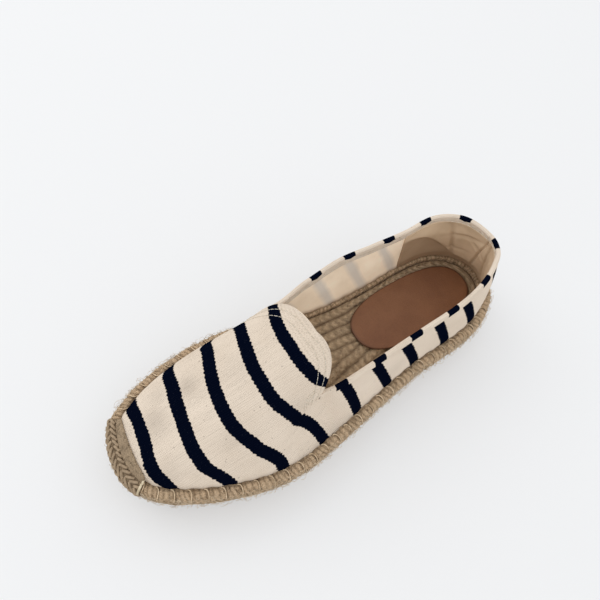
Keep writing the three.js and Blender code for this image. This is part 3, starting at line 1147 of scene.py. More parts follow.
@dataclass(frozen=True)
class StripeChart:
    """Where the middle of each navy stripe runs over the upper.

    Args:
        across: Places from the inner seam (-1) over the ridge (0) to the outer seam (1).
        vamp: For each stripe from the toe back, its place along the shoe there.
        quarter: For each stripe behind those, its place at the outer seam and collar and at the
            inner seam and collar, measured along the seam behind the heel's start.
        half: Half the width of each stripe from the toe back; those behind are as the last.
        pitch: The distance between stripes.
        widest: The longest that this distance gets.
        heel: Where places start to be measured along the seam.
        seam_to_cloth: Over which stretch places pass from the seam's to the cloth's own.
    """

    across: tuple[float, ...] = (-1, -0.7, -0.45, -0.2, 0, 0.2, 0.35, 0.5, 0.7, 0.85, 1)
    vamp: Rows = (
        (225.4, 227, 228, 230.1, 231.4, 232, 232.5, 232.9, 231.8, 230.5, 229.6),
        (198, 202, 205.5, 208.9, 211.1, 212.8, 213.3, 211.9, 207.7, 205.1, 203.5),
        (170, 176.5, 182.5, 188.8, 192.8, 193.5, 191.2, 186.1, 180.5, 178, 177),
        (147, 155, 163, 169.3, 173, 172.4, 168.4, 162.6, 156.4, 153.2, 150.6),
        (124, 131, 142.5, 151.8, 155, 152.8, 147.6, 134, 129.6, 127.5, 126),
    )
    quarter: Rows = (
        (102.2, 113.5, 100.5, 112), (80.5, 94.5, 77, 90), (56.5, 73.5, 54, 67), (33, 54, 31, 43),
        (8, 22, 7, 15), (-18, -18, -18, -18),
    )
    half: tuple[float, ...] = (3.7, 3.45, 3.45, 3.4, 3.2)
    pitch: float = 24.0
    widest: float = 60.0
    heel: float = 60.0
    seam_to_cloth: tuple[float, float] = (70, 105)

    def along(self, last: Last, turn: Array, points: Array) -> Array:
        """How far along the shoe points are, counted along the seam around the heel.

        Args:
            last: The shoe's form.
            turn: Each point's turn.
            points: The points.

        Returns:
            Their places.
        """
        dense = np.linspace(0, last.turn_of(self.heel + 12), 400)
        foot = last.inset(dense, last.seam_inset)
        walked = distances(foot)
        from_heel = np.minimum(np.mod(turn, 2 * PI), 2 * PI - np.mod(turn, 2 * PI))
        start = np.interp(self.heel, foot[:, 0], walked)
        seam_x = last.inset(turn, last.seam_inset)[..., 0]
        behind = self.heel - start + np.interp(from_heel, dense, walked)
        place = np.where(seam_x < self.heel, behind, seam_x)
        return place + (points[..., 0] - place) * smoothstep(points[..., 0], *self.seam_to_cloth)

    def index(self, across: Array, along: Array) -> Array:
        """The number of the stripe at each point, with shares between stripes.

        Args:
            across: Where points are across the upper.
            along: Where they are along the shoe.

        Returns:
            Stripe numbers, 1 for the one at the toe.
        """
        rows = [Curve(self.across, tuple(row))(across) for row in self.vamp]
        for outer_seam, outer_collar, inner_seam, inner_collar in self.quarter:
            table = Curve((-1, -0.5, -0.3, 0.3, 0.5, 1),
                          (inner_seam, inner_collar, inner_collar, outer_collar, outer_collar, outer_seam))
            rows.append(np.interp(across, table.at, table.value))
        number = 1 - (along - rows[0]) / self.pitch
        for i in range(len(rows) - 1):
            share = (rows[i] - along) / (rows[i] - rows[i + 1])
            number = np.where(along < rows[i], i + 1 + share, number)
        return number


@dataclass(frozen=True)
class Crease:
    """A soft trough in cloth, or a ridge where its depth is below zero.

    Args:
        start: One end of its line.
        end: The other end.
        depth: How deep it is in the middle.
        width: How wide it is.
    """

    start: tuple[float, float, float]
    end: tuple[float, float, float]
    depth: float
    width: float

    def sink(self, points: Array) -> Array:
        """How far it lowers the cloth.

        Args:
            points: Points of the cloth.

        Returns:
            How far each of them sinks.
        """
        a, b = np.array(self.start, float), np.array(self.end, float)
        line = b - a
        t = np.clip((points - a) @ line / (line @ line), 0, 1)
        away = np.linalg.norm(points - (a + t[:, None] * line), axis=1)
        return self.depth * bell(away, self.width) * (0.35 + 0.65 * np.sin(PI * t) ** 2)


@dataclass
class Upper:
    """The canvas upper, its linings, its folded hem and its stitching.

    Args:
        maker: What makes the pieces.
        chart: Where the stripes run.
        canvas: The canvas's thickness.
        lining: The cotton lining's thickness.
        heel_steps: Columns of points on each side behind the throat.
        toe_steps: Columns on each side before it.
        wall_rows: Rows up the wall.
        vamp_rows: Rows over the vamp.
        wall_to_vamp: Over which stretch the cloth's rows turn from the wall's to the vamp's.
        stitch_pitch: The distance between the stitches that gather the canvas.
        gather: How deep they draw it in, and how high up.
        seam_darkening: How high up the wall the canvas darkens towards its seam, and how much.
        hem_mark: The width of a navy mark on the hem.
        heel_lining_end: How far along the shoe the heel lining reaches.
        heel_lining_rows: The lowest and highest share of the wall that it covers.
        heel_lining_points: Its columns and rows of points.
        stains_and_shade: The middle, reach and strength of each darker patch; some are stains, and those in
            the vamp's troughs are partly painted shade.
        creases: The main creases.
        hem_marks: The middle of each navy mark on the hem.
    """

    maker: Maker
    chart: StripeChart = StripeChart()
    canvas: float = 0.9
    lining: float = 0.75
    heel_steps: int = 104
    toe_steps: int = 90
    wall_rows: int = 26
    vamp_rows: int = 40
    wall_to_vamp: tuple[float, float] = (95, 140)
    stitch_pitch: float = 8.7
    gather: tuple[float, float] = (0.22, 3)
    seam_darkening: tuple[float, float] = (2.2, 0.65)
    hem_mark: float = 7.4
    heel_lining_end: float = 50
    heel_lining_rows: tuple[float, float] = (0.02, 0.9)
    heel_lining_points: tuple[int, int] = (150, 40)
    stains_and_shade: Rows = (
        (222, -9.5, 47.3, 7, 0.55), (202, -15.6, 55.6, 6, 0.6), (193, 18, 52, 8, 0.25),
        (214, -20, 46, 6, 0.4), (176, -6, 68, 10, 0.2), (160, 22, 56, 6, 0.35),
        (228, 14, 38, 6, 0.35), (100, 30, 40, 8, 0.3),
    )
    creases: tuple[Crease, ...] = (
        Crease((146, 24, 44), (168, 33, 46), 1.6, 5),
        Crease((160, 27, 36), (182, 38, 36), 1.4, 4),
        Crease((156, 14, 70), (172, 26, 56), 0.7, 4.5),
        Crease((158, -22, 70), (163, 14, 73), 1.0, 4),
        Crease((172, -24, 62), (174, 8, 69), -0.5, 6),
        Crease((180, -26, 56), (184, 16, 62), 1.1, 5),
        Crease((202, -20, 52), (201, -6, 57), 1.9, 5),
        Crease((208, -24, 46), (212, -2, 52), -0.6, 5),
        Crease((219, -14, 46), (221, 14, 44), 1.3, 4),
        Crease((192, 26, 50), (204, 20, 50), 1.3, 5),
        Crease((186, 36, 40), (200, 30, 42), 1.1, 4),
        Crease((226, 12, 41), (214, 26, 37), 1.2, 4),
        Crease((118, 29, 44), (124, 37, 31), 0.9, 4),
        Crease((92, 29, 50), (96, 33, 34), 0.7, 4),
        Crease((62, 27, 56), (68, 31, 36), 0.8, 5),
        Crease((40, 26, 58), (30, 28, 34), 0.7, 4),
        Crease((110, -38, 48), (104, -32, 30), 1.0, 5),
        Crease((70, -36, 50), (74, -30, 32), 1.0, 5),
        Crease((8, -10, 55), (6, 8, 44), 0.9, 5),
        Crease((10, 14, 60), (8, 20, 40), 0.8, 4),
    )
    hem_marks: tuple[tuple[float, float, float], ...] = (
        (110.2, -36.6, 54.6), (87.3, -37.1, 56.8), (61.7, -32.7, 58.5), (36.3, -31, 61.1),
        (17.4, -19.5, 66.1), (14.8, 2.7, 66.8), (35.9, 19.2, 65.6), (61.9, 23.8, 60.3),
        (86, 23.3, 57.9), (109.5, 23.4, 53.5), (132.7, 23.4, 48.1),
    )

    @property
    def last(self) -> Last:
        """The shoe's form."""
        return self.maker.last

    def relief(self, points: Array, turn: Array, share: Array) -> Array:
        """How far the cloth lies in from the smooth form.

        Args:
            points: Points of the smooth form.
            turn: Their turns.
            share: Their shares of the way up.

        Returns:
            How far each of them sinks.
        """
        sink = sum(crease.sink(points) for crease in self.creases)
        walked = EdgeWalk(self.last).distance(turn)
        depth, reach = self.gather
        drawn = depth * (1 + np.cos(2 * PI * walked / self.stitch_pitch))
        return sink + drawn * bell(self.above_seam(points), reach) * (share < 1)

    def above_seam(self, points: Array) -> Array:
        """How far points lie above the edge row."""
        return points[:, 2] - self.last.seam(points[:, 0])

    def dress(self, points: Array, turn: Array, share: Array) -> tuple[Array, Array, Array]:
        """Charts points of the upper.

        Args:
            points: The points.
            turn: Their turns.
            share: Their shares of the way up.

        Returns:
            Their cloth coordinates, stripe numbers, and darkening from soil and painted shade.
        """
        across = (2 - share) / 2
        along = self.chart.along(self.last, turn, points)
        inner = smoothstep(np.mod(turn, 2 * PI), PI - 0.35, PI + 0.35)
        number = self.chart.index(across, along) * (1 - inner) + self.chart.index(-across, along) * inner
        ridge_z = Curve.through(self.last.ridge, 2)(points[:, 0])
        out = np.abs(points[:, 1] - Curve.through(self.last.ridge)(points[:, 0]))
        drop = np.maximum(ridge_z - points[:, 2], 0)
        # Over the vamp the cloth's rows follow the ridge, and on the wall they run level.
        around = 1.08 * np.hypot(out, drop * out / (out + 6))
        wall = 1 - smoothstep(points[:, 0], *self.wall_to_vamp)
        around = around + (12 + 0.9 * (87 - points[:, 2]) - around) * wall
        # The canvas darkens towards its seam; the patches are stains, with painted shade where they lie in
        # the vamp's troughs.
        height, strength = self.seam_darkening
        soil_and_shade = bell(self.above_seam(points), height) * strength
        for *centre, reach, strength in self.stains_and_shade:
            away = np.linalg.norm(points - np.array(centre), axis=-1)
            soil_and_shade = np.maximum(soil_and_shade, strength * bell(away, reach))
        return np.stack([self.chart.pitch * number, around], -1), number, soil_and_shade

    def skin(self) -> tuple[Sheet, Array]:
        """The whole outer face with its creases, and which points stand on the seam."""
        last = self.last
        outer_throat, inner_throat = (last.turn_of(last.wall(side).throat) for side in Side)

        def side_turns(throat: float) -> list[float]:
            """Turns from the heel's tip to just short of the toe's tip."""
            heel = [throat * i / self.heel_steps for i in range(self.heel_steps)]
            return heel + [throat + (PI - throat) * i / self.toe_steps for i in range(self.toe_steps)]

        inner = [2 * PI - turn for turn in side_turns(inner_throat)[:0:-1]]
        turns = side_turns(outer_throat) + [PI] + inner
        around, half = len(turns), self.heel_steps + self.toe_steps
        turn_of_point: list[float] = []
        share_of_point: list[float] = []

        def add(turn: float, share: float) -> int:
            """Adds a point.

            Args:
                turn: Its turn.
                share: Its share of the way up.

            Returns:
                Its number.
            """
            turn_of_point.append(turn)
            share_of_point.append(share)
            return len(turn_of_point) - 1

        vamp = range(self.heel_steps, around - self.heel_steps + 1)
        columns = [[add(turn, j / self.wall_rows) for j in range(self.wall_rows + 1)] for turn in turns]
        for k in vamp:
            columns[k] += [add(turns[k], 1 + j / self.vamp_rows) for j in range(1, self.vamp_rows)]
        for k in range(self.heel_steps, half + 1):
            top = add(turns[k], 2)
            columns[k].append(top)
            if k < half:
                columns[around - k].append(top)
        faces: list[tuple[int, ...]] = []
        for k in range(around):
            there = (k + 1) % around
            rows = self.wall_rows + (self.vamp_rows if k in vamp and there in vamp else 0)
            left, right = columns[k], columns[there]
            for i in range(rows):
                if left[i + 1] == right[i + 1]:
                    faces.append((left[i], left[i + 1], right[i]))
                else:
                    faces.append((left[i], left[i + 1], right[i + 1], right[i]))
        turn, share = np.array(turn_of_point), np.array(share_of_point)
        points = last.upper(turn, share)
        uv, number, soil_and_shade = self.dress(points, turn, share)
        sheet = Sheet(points, faces, uv, {"soil_and_shade": soil_and_shade})
        slope = np.maximum(sheet.steepness(number), 1 / self.chart.widest)
        reach = np.interp(number, np.arange(len(self.chart.half)) + 1, self.chart.half)
        sheet.fields["navy"] = reach - np.abs(number - np.round(number)) / slope
        sheet.points = points - sheet.normals() * self.relief(points, turn, share)[:, None]
        return sheet, np.array([column[0] for column in columns])

    def patch(self, turns: Array, shares: Array) -> Sheet:
        """A rectangle of the outer face with its creases.

        Args:
            turns: Its turns, in rising order; those below zero lie on the inner side of the heel.
            shares: Its shares of the way up, for each turn.

        Returns:
            The open sheet.
        """
        turn = np.repeat(turns, shares.shape[1])
        share = shares.ravel()
        round_turn = np.mod(turn, 2 * PI)
        points = self.last.upper(round_turn, share)
        sink = self.relief(points, round_turn, share)[:, None]
        points = points - self.last.facing(round_turn, share) * sink
        uv, _, soil_and_shade = self.dress(points, round_turn, share)
        faces = grid_faces(len(turns), shares.shape[1])
        return Sheet(points, faces, uv, {"soil_and_shade": soil_and_shade, "navy": np.full(len(points), PLAIN)})

    def make_canvas(self) -> None:
        """Makes the canvas and the cotton lining behind it."""
        skin, seam = self.skin()
        level = np.zeros(len(skin.points), bool)
        level[seam] = True
        self.maker.piece("canvas_upper", skin.thickened(0, -self.canvas, 0.25, level),
                         Canvas("striped_canvas"), "canvas", ("upper",))
        inside = skin.thickened(-self.canvas - 0.08, -self.canvas - 0.08 - self.lining, 0.1, level)
        # Painted shade in the corner at the lining's foot.
        inside.fields["soil_and_shade"] = bell(self.above_seam(inside.points), 2.5)
        self.maker.piece("canvas_lining", inside, Lining("cotton_lining"), "canvas")

    def make_heel_lining(self) -> None:
        """Makes the tan heel lining, which hangs in loose folds above a pocket painted darker as shade."""
        columns, rows = self.heel_lining_points
        low, top = self.heel_lining_rows
        reach = self.last.turn_of(self.heel_lining_end)
        turns = np.linspace(-reach, reach, columns)
        shares = np.tile(np.linspace(low, top, rows), (columns, 1))
        sheet = self.patch(turns, shares)
        turn, share = np.repeat(turns, rows), shares.ravel()
        brim = 0.14 + 0.62 * smoothstep(-turn / reach, 0.35, 1.0) + 0.02 * np.sin(9 * turn)
        over = smoothstep(share, brim - 0.05, brim + 0.05)
        crease = over * self.heel_creases(turn, share)
        puff = 2.2 * over * (1 - smoothstep(share, 0.66, 0.88)) * (1 - smoothstep(turn, 0.3, 0.6))
        folds = puff - 1.5 * crease + 1.2 * bell(turn - 0.5 + 0.2 * share, 0.09)
        held = np.clip((reach - np.abs(turn)) / 0.12, 0, 1) ** 0.5
        folds = folds * held * np.sin(PI * np.clip(share / top, 0, 1)) ** 0.4
        # Painted shade: the pocket under the fold, the creases and the lining's foot are darker.
        pocket = (1 - over) * smoothstep(-turn, 0.05, 0.45) * 0.7
        inner = -(self.canvas + 0.16 + self.lining)
        sheet.fields["soil_and_shade"] = np.clip(bell(share, 0.1) + 0.3 * crease + pocket, 0, 1)
        closed = sheet.thickened(inner - folds, inner - 0.7 - folds, 0.15)
        # Its glow is painted light, as on the cotton lining.
        finish = Lining("heel_lining", (0.65, 0.49, 0.335), (0.47, 0.34, 0.22), show=0.0, glow=0.08)
        self.maker.piece("heel_lining", closed, finish, "canvas")

    def heel_creases(self, turn: Array, share: Array) -> Array:
        """The sharp creases of the heel lining.

        Args:
            turn: Places around the heel, below zero on its inner side.
            share: Places up the wall.

        Returns:
            How deep each place is in a crease.
        """
        return (
            bell(turn + 0.12 - 0.14 * share, 0.022)
            + bell(turn + 0.36 + 0.22 * share, 0.026)
            + 0.8 * bell(turn - 0.20 + 0.1 * share, 0.026)
            + bell(share - 0.70 - 0.30 * (turn + 0.3), 0.026) * bell(turn + 0.30, 0.2)
            + bell(share - 0.56 + 0.45 * turn, 0.026) * bell(turn + 0.05, 0.18)
            + 0.9 * bell(share - 0.42 - 0.2 * turn, 0.024) * bell(turn + 0.45, 0.16)
        )

    def collar_turns(self, count: int) -> Array:
        """Turns along the collar from the inner end of the throat around the heel to the outer."""
        inner, outer = (self.last.turn_of(self.last.wall(side).throat) for side in (Side.INNER, Side.OUTER))
        return np.linspace(-inner, outer, count)

    def beside_collar(self, turns: Array, down: Array, out: Array) -> Array:
        """Points by the collar's edge.

        Args:
            turns: Turns along the collar.
            down: How far below the edge they lie on the cloth.
            out: How far out of the canvas.

        Returns:
            The points, by turn and by place.
        """
        turn = np.mod(np.repeat(turns, len(down)), 2 * PI)
        top = self.last.upper(turn, np.full(len(turn), 1.0))
        below = self.last.upper(turn, np.full(len(turn), 0.98))
        speed = np.linalg.norm(top - below, axis=1) / 0.02
        share = 1 - np.tile(down, len(turns)) / speed
        points = self.last.upper(turn, np.minimum(share, 1.0))
        over = np.maximum(-np.tile(down, len(turns)), 0)[:, None]
        facing = self.last.facing(turn, np.minimum(share, 0.995))
        points = points + unit(top - below) * over + facing * np.tile(out, len(turns))[:, None]
        points = points - facing * self.relief(points, turn, np.minimum(share, 0.99))[:, None]
        return points.reshape(len(turns), len(down), 3)

    def make_hem(self) -> None:
        """Makes the folded hem around the collar, with its own navy marks."""
        inner = -(self.canvas + 0.1 + self.lining)
        profile = np.array([
            (2.5, 0.03), (2.45, 0.3), (2.25, 0.46), (1.8, 0.5), (1.1, 0.5), (0.4, 0.46), (-0.25, 0.22),
            (-0.6, -0.2), (-0.7, -0.85), (-0.55, inner + 0.1), (-0.1, inner - 0.3), (0.7, inner - 0.46),
            (2.2, inner - 0.5), (3.6, inner - 0.46), (4.3, inner - 0.4), (4.6, inner - 0.25),
            (4.6, inner - 0.02), (2.5, inner - 0.02), (0.0, inner), (-0.12, -0.8), (0.0, 0.03), (1.3, 0.03),
        ])
        turns = self.collar_turns(420)
        rings = self.beside_collar(turns, profile[:, 0], profile[:, 1])
        edge = self.last.upper(np.mod(turns, 2 * PI), np.full(len(turns), 1.0))
        walked = distances(edge)
        sheet = loft(rings, np.stack(np.meshgrid(walked, distances(profile), indexing="ij"), -1))
        nearest = (np.argmin(np.linalg.norm(edge - np.array(mark), axis=1)) for mark in self.hem_marks)
        away = np.min([np.abs(walked - walked[i]) for i in nearest], axis=0)
        inside = np.maximum(profile[:, 0] - 0.9, 0) * (profile[:, 1] < -self.canvas) * 4
        sheet.fields["navy"] = (self.hem_mark / 2 - away[:, None] - inside[None, :]).ravel()
        sheet.fields["soil_and_shade"] = np.zeros(len(sheet.points))
        self.maker.piece("collar_hem", sheet, Canvas("hem_canvas", ragged=0.35), "canvas")
        out = np.array([inner - 0.5])
        rows = [self.beside_collar(turns, np.array([down]), out)[:, 0] for down in (2.1, 3.7)]
        self.make_dashes("hem_stitches", rows, 2.3, 0.8, 0.17)

    def make_dashes(self, name: str, lines: Sequence[Array], length: float, space: float,
                    radius: float) -> None:
        """Sews lines of even stitches.

        Args:
            name: The piece's name.
            lines: The seams' lines, as close points.
            length: The length of a stitch.
            space: The space between two.
            radius: The thread's radius.
        """
        paths: list[Array] = []
        for line in lines:
            walked = distances(line)
            for start in np.arange(0.5, walked[-1] - length, length + space):
                paths.append(read_line(line, walked, start + np.linspace(0, length, 5)))
        finish = Thread("pale_thread", (0.80, 0.74, 0.63), (0.55, 0.47, 0.36))
        self.maker.threads(name, paths, finish, "canvas", radius, 5)

    def on_vamp(self, side: Side, part: Array, shares: Array, out: float) -> Array:
        """A line over the vamp.

        Args:
            side: The side it is on.
            part: Shares of the way from the throat to the toe.
            shares: Shares of the way up.
            out: How far out of the canvas.

        Returns:
            The line.
        """
        turn = self.last.at_part(side, part)
        points, facing = self.last.upper(turn, shares), self.last.facing(turn, shares)
        return points + facing * (out - self.relief(points, turn, shares))[:, None]

    def beside_tongue(self, side: Side, away: float, shares: Array, out: float) -> Array:
        """A line at one distance from the tongue's free edge.

        Args:
            side: The side it is on.
            away: The distance.
            shares: Shares of the way up.
            out: How far out of the canvas.

        Returns:
            The line.
        """
        parts = np.linspace(0, 0.16, 60)
        edge = self.on_vamp(side, np.zeros(200), np.linspace(0.9, 1.995, 200), 0)
        chosen = []
        for share in shares:
            line = self.on_vamp(side, parts, np.full(len(parts), share), 0)
            distance = np.linalg.norm(line[:, None] - edge[None], axis=-1).min(1)
            chosen.append(np.interp(away, distance, parts))
        return self.on_vamp(side, np.array(chosen), shares, out)

    def make_vamp_stitches(self) -> None:
        """Sews the two rows inside the tongue's free edge and the small curved rows at the throat."""
        lines = []
        for away in (3.0, 6.6):
            outer = self.beside_tongue(Side.OUTER, away, np.linspace(1.0, 1.995, 110), 0.12)
            inner = self.beside_tongue(Side.INNER, away, np.linspace(1.995, 1.0, 110), 0.12)
            lines.append(np.concatenate([outer, inner]))
        self.make_dashes("tongue_stitches", lines, 2.2, 0.75, 0.16)
        turns = np.linspace(0.35, 1.15, 40) * PI
        rows: list[Array] = []
        for reach in (1.0, 0.72, 0.45):
            part = 0.038 + 0.038 * reach * np.sin(turns)
            shares = 1.07 - 0.13 * reach * np.cos(turns)
            rows.append(self.on_vamp(Side.OUTER, part, shares, 0.1))
        self.make_dashes("throat_stitches", rows, 1.9, 0.7, 0.16)

    def make(self) -> None:
        """Makes every piece of the upper."""
        self.make_canvas()
        self.make_heel_lining()
        self.make_hem()
        self.make_vamp_stitches()


@dataclass
class Sole:
    """The plaited edge row, the coil under it, the footbed, their stitches and the outsole.

    Args:
        maker: What makes its pieces.
        blocks: Blanket stitches around the edge row.
        row: The edge row's height.
        waist: How far down the edge row's two bulges meet.
        outsole: The outsole's thickness.
        fibres: Loose fibres on the edge row.
        fuzz: How far they stand out.
        footbed_inset: How far in from the edge the footbed starts.
        plait_pitch: The breadth of one row of its plait.
        footbed_points: Its lines and points on each.
        sock_middle: The leather pad's middle.
        sock_half: Half its length and half its breadth.
        sock_full: How full its corners are; 2 would make it an ellipse.
        edge_profile: The edge row's section: in from the sole's edge, and down from its top.
        coil_profile: The coil's section: in from the sole's edge, and up as a share.
        blanket: A blanket stitch: in from the edge, down from the top, and along the edge.
    """

    maker: Maker
    blocks: int = 68
    row: float = 10.2
    waist: float = 5.9
    outsole: float = 2.5
    fibres: int = 3000
    fuzz: float = 1.0
    footbed_inset: float = 9.6
    plait_pitch: float = 5.9
    footbed_points: tuple[int, int] = (328, 96)
    sock_middle: tuple[float, float] = (58.5, -2.2)
    sock_half: tuple[float, float] = (42, 18.8)
    sock_full: float = 2.5
    edge_profile: Rows = (
        (1.7, 10.2), (0.5, 9.2), (0.1, 7.8), (0.35, 6.6), (0.95, 5.9), (0.35, 4.9), (0.1, 3.7),
        (0.35, 2.4), (1.0, 1.3), (2.1, 0.5), (3.4, 0.1), (4.8, 0), (6.6, 0), (8.4, 0), (9.1, 0.5),
        (9.3, 1.4), (9.3, 5), (9.3, 10.2), (5.5, 10.2),
    )
    coil_profile: Rows = (
        (4.6, 0.0), (3.5, 0.12), (2.9, 0.3), (3.3, 0.47), (3.4, 0.53), (2.7, 0.7), (2.8, 0.88),
        (3.8, 1.0), (14, 1.0), (22, 1.0), (22, 0.5), (22, 0.0), (14, 0.0),
    )
    blanket: Rows = (
        (5.3, -0.35, 2.2), (5.0, -0.6, 1.4), (4.4, -0.5, 0.6), (3.2, -0.2, 0.1), (2.0, 0.35, 0.0),
        (0.95, 1.3, 0.0), (0.3, 2.5, 0.1), (0.05, 3.7, 0.2), (0.15, 4.7, 0.4), (0.9, 5.5, 0.7),
        (2.2, 5.9, 0.8),
    )

    @property
    def last(self) -> Last:
        """The shoe's form."""
        return self.maker.last

    def dense(self, profile: Rows, steps: int) -> tuple[Array, Array]:
        """Rounds a closed profile.

        Args:
            profile: Its corners.
            steps: Points for each corner.

        Returns:
            The rounded points, and the direction out of each.
        """
        corners = np.array(profile, float)
        points = []
        for i in range(len(corners)):
            a, b, c, d = (corners[(i + k) % len(corners)] for k in (-1, 0, 1, 2))
            for t in np.arange(steps) / steps:
                points.append(0.5 * (2 * b + (c - a) * t + (2 * a - 5 * b + 4 * c - d) * t * t
                                     + (3 * b - a - 3 * c + d) * t**3))
        rounded = np.array(points)
        along = unit(np.roll(rounded, -1, 0) - np.roll(rounded, 1, 0))
        return rounded, np.stack([-along[:, 1], along[:, 0]], -1)

    def swept(self, profile: Rows, height: Callable[[Array, Array], Array], steps: int, stations: int,
              relief: Callable[[Array, Array, Array], tuple[Array, Array]], level: bool = False) -> Sheet:
        """Sweeps a profile around the sole.

        Args:
            profile: Corners, as the inset from the edge and the place down or up.
            height: Height of a point from its place along the shoe and its second number.
            steps: Points for each corner.
            stations: Stations around the sole.
            relief: From the distance walked, the inset and the second number, how far a point
                stands out and its rise out of the hollows.
            level: Whether points stand out level, rather than square to the profile.

        Returns:
            The closed sheet.
        """
        walk = EdgeWalk(self.last)
        lap = walk.lap()
        distance = np.arange(stations) * lap / stations
        turns = walk.turns(distance)
        rounded, out = self.dense(profile, steps)
        middle = rounded.mean(0)
        if np.sum((rounded - middle) * out) < 0:
            out = -out
        if level:
            out = np.broadcast_to([-1.0, 0.0], out.shape)
        stand, rise = relief(distance[:, None], rounded[None, :, 0], rounded[None, :, 1])
        inset = rounded[None, :, 0] + out[None, :, 0] * stand
        second = rounded[None, :, 1] + out[None, :, 1] * stand
        edge, away = self.last.edge(turns)[:, None, :], self.last.outwards(turns)[:, None, :]
        flat = edge - away * inset[..., None]
        rings = np.concatenate([flat, height(flat[..., 0], second)[..., None]], -1)
        uv = np.stack(np.meshgrid(distance, distances(rounded), indexing="ij"), -1)
        return loft(rings, uv, np.broadcast_to(rise, stand.shape), ends=False, lap=lap)

    def make_edge(self) -> None:
        """Makes the plaited outer row, drawn into blocks by its stitches."""
        lap = EdgeWalk(self.last).lap()
        pitch = lap / self.blocks

        def relief(walked: Array, inset: Array, down: Array) -> tuple[Array, Array]:
            """Blocks between stitches, crossed by slanting strands.

            Args:
                walked: The distance walked around the edge.
                inset: How far in from it.
                down: How far down from the row's top.

            Returns:
                How far a point stands out, and its rise, which drops for painted shade in the slits and the
                waist and at the row's bottom and seam.
            """
            outer = smoothstep(7.5 - inset, 0, 2)
            upper = 1 - smoothstep(down, 5.0, 6.2)
            swing = np.sin(2 * PI * walked * 9 / lap) + np.sin(2 * PI * walked * 23 / lap + down)
            block = 1 - (1 - np.abs(np.sin(PI * walked / pitch)) ** 0.3) * upper
            lean = (down - 0.5 * inset) * 0.13
            strand = np.abs(np.sin(PI * (walked * 3 / pitch + lean + 0.22 * swing))) ** 0.5
            loops = np.abs(np.sin(PI * (walked * 2 / pitch - down * 0.2 + 0.3 * swing))) ** 0.6
            slit = 1 - (strand * upper + loops * (1 - upper))
            wobble = 0.16 * np.sin(2 * PI * walked * 31 / lap + 2 * np.sin(down * 0.6))
            bottom = smoothstep(down, 8.8, 10.2)
            waist = bell(down - self.waist, 0.5) * (inset < 5)
            stand = outer * (-0.55 * (1 - block) + 0.2 - 0.75 * slit + wobble) - 0.3 * bottom
            # Painted shade: the row darkens in its slits and waist, at its bottom and where the canvas
            # meets it.
            rise = np.clip(0.45 + 0.55 * block - 0.75 * slit - 0.55 * bottom - 0.35 * waist, 0, 1)
            seam = 1 - 0.85 * bell(inset - 5.2, 0.7) * (down < 1.5)
            return stand, rise * seam

        def height(x: Array, down: Array) -> Array:
            """Down from the row's top."""
            return self.last.seam(x) - down

        sheet = self.swept(self.edge_profile, height, 2, self.blocks * 20, relief)
        self.maker.piece("edge_braid_row", sheet, Jute("jute_braid"), "jute", ("edge_braid",))

    def make_coil(self) -> None:
        """Makes the coil of rope between the edge row and the outsole."""
        lap = EdgeWalk(self.last).lap()
        pitch = lap / (self.blocks * 2)

        def height(x: Array, share: Array) -> Array:
            """Height between the outsole and the edge row.

            Args:
                x: Places along the shoe.
                share: Shares of the way up.

            Returns:
                The heights.
            """
            gap = self.last.gap
            low = self.last.underside(x) + self.outsole + gap
            return low + share * (self.last.seam(x) - self.row - gap - low)

        def relief(walked: Array, inset: Array, share: Array) -> tuple[Array, Array]:
            """Slanting strands, with loops just under the edge row.

            Args:
                walked: The distance walked around the edge.
                inset: How far in from it.
                share: The share of the way up.

            Returns:
                How far a point stands out, and its rise, which drops for painted shade between strands and
                loops, under the edge row and at the floor.
            """
            outer = smoothstep(9 - inset, 0, 3)
            swing = np.sin(2 * PI * walked * 11 / lap)
            swing = swing + 0.7 * np.sin(2 * PI * walked * 29 / lap + 2 * share)
            strand = np.abs(np.sin(PI * (walked / pitch / 1.5 + share * 0.9 + 0.3 * swing))) ** 0.6
            loops = np.abs(np.sin(PI * (walked / pitch - share * 1.2))) ** 0.7
            top = smoothstep(share, 0.62, 0.80)
            waist = bell(share - 0.5, 0.05)
            stand = outer * (0.55 * (strand - 1) * (1 - top) + 0.7 * (loops - 1) * top - 0.3 * waist)
            rise = 1 - 0.45 * waist - 0.5 * (1 - loops) * top - 0.5 * (1 - strand) * (1 - top)
            # Painted shade under the edge row, and a painted contact shadow at the floor.
            rise = rise - 0.5 * smoothstep(share, 0.94, 1.0)
            return stand, np.clip(rise - 0.4 * (1 - smoothstep(share, 0, 0.08)), 0, 1)

        sheet = self.swept(self.coil_profile, height, 3, self.blocks * 14, relief, level=True)
        finish = Jute("jute_coil", (0.78, 0.59, 0.39), (0.38, 0.26, 0.155), fibre=(1.5, 0.35), ply=4.4)
        self.maker.piece("sole_coil", sheet, finish, "jute", ("jute_sole",))

    def path(self, distance: Array, inset: Array, down: Array) -> Array:
        """A line by the sole's edge.

        Args:
            distance: The distances walked to its points.
            inset: How far in each is.
            down: How far below the seam.

        Returns:
            The line.
        """
        turns = EdgeWalk(self.last).turns(distance)
        flat = self.last.inset(turns, inset)
        return np.concatenate([flat, (self.last.seam(flat[:, 0]) - down)[:, None]], -1)

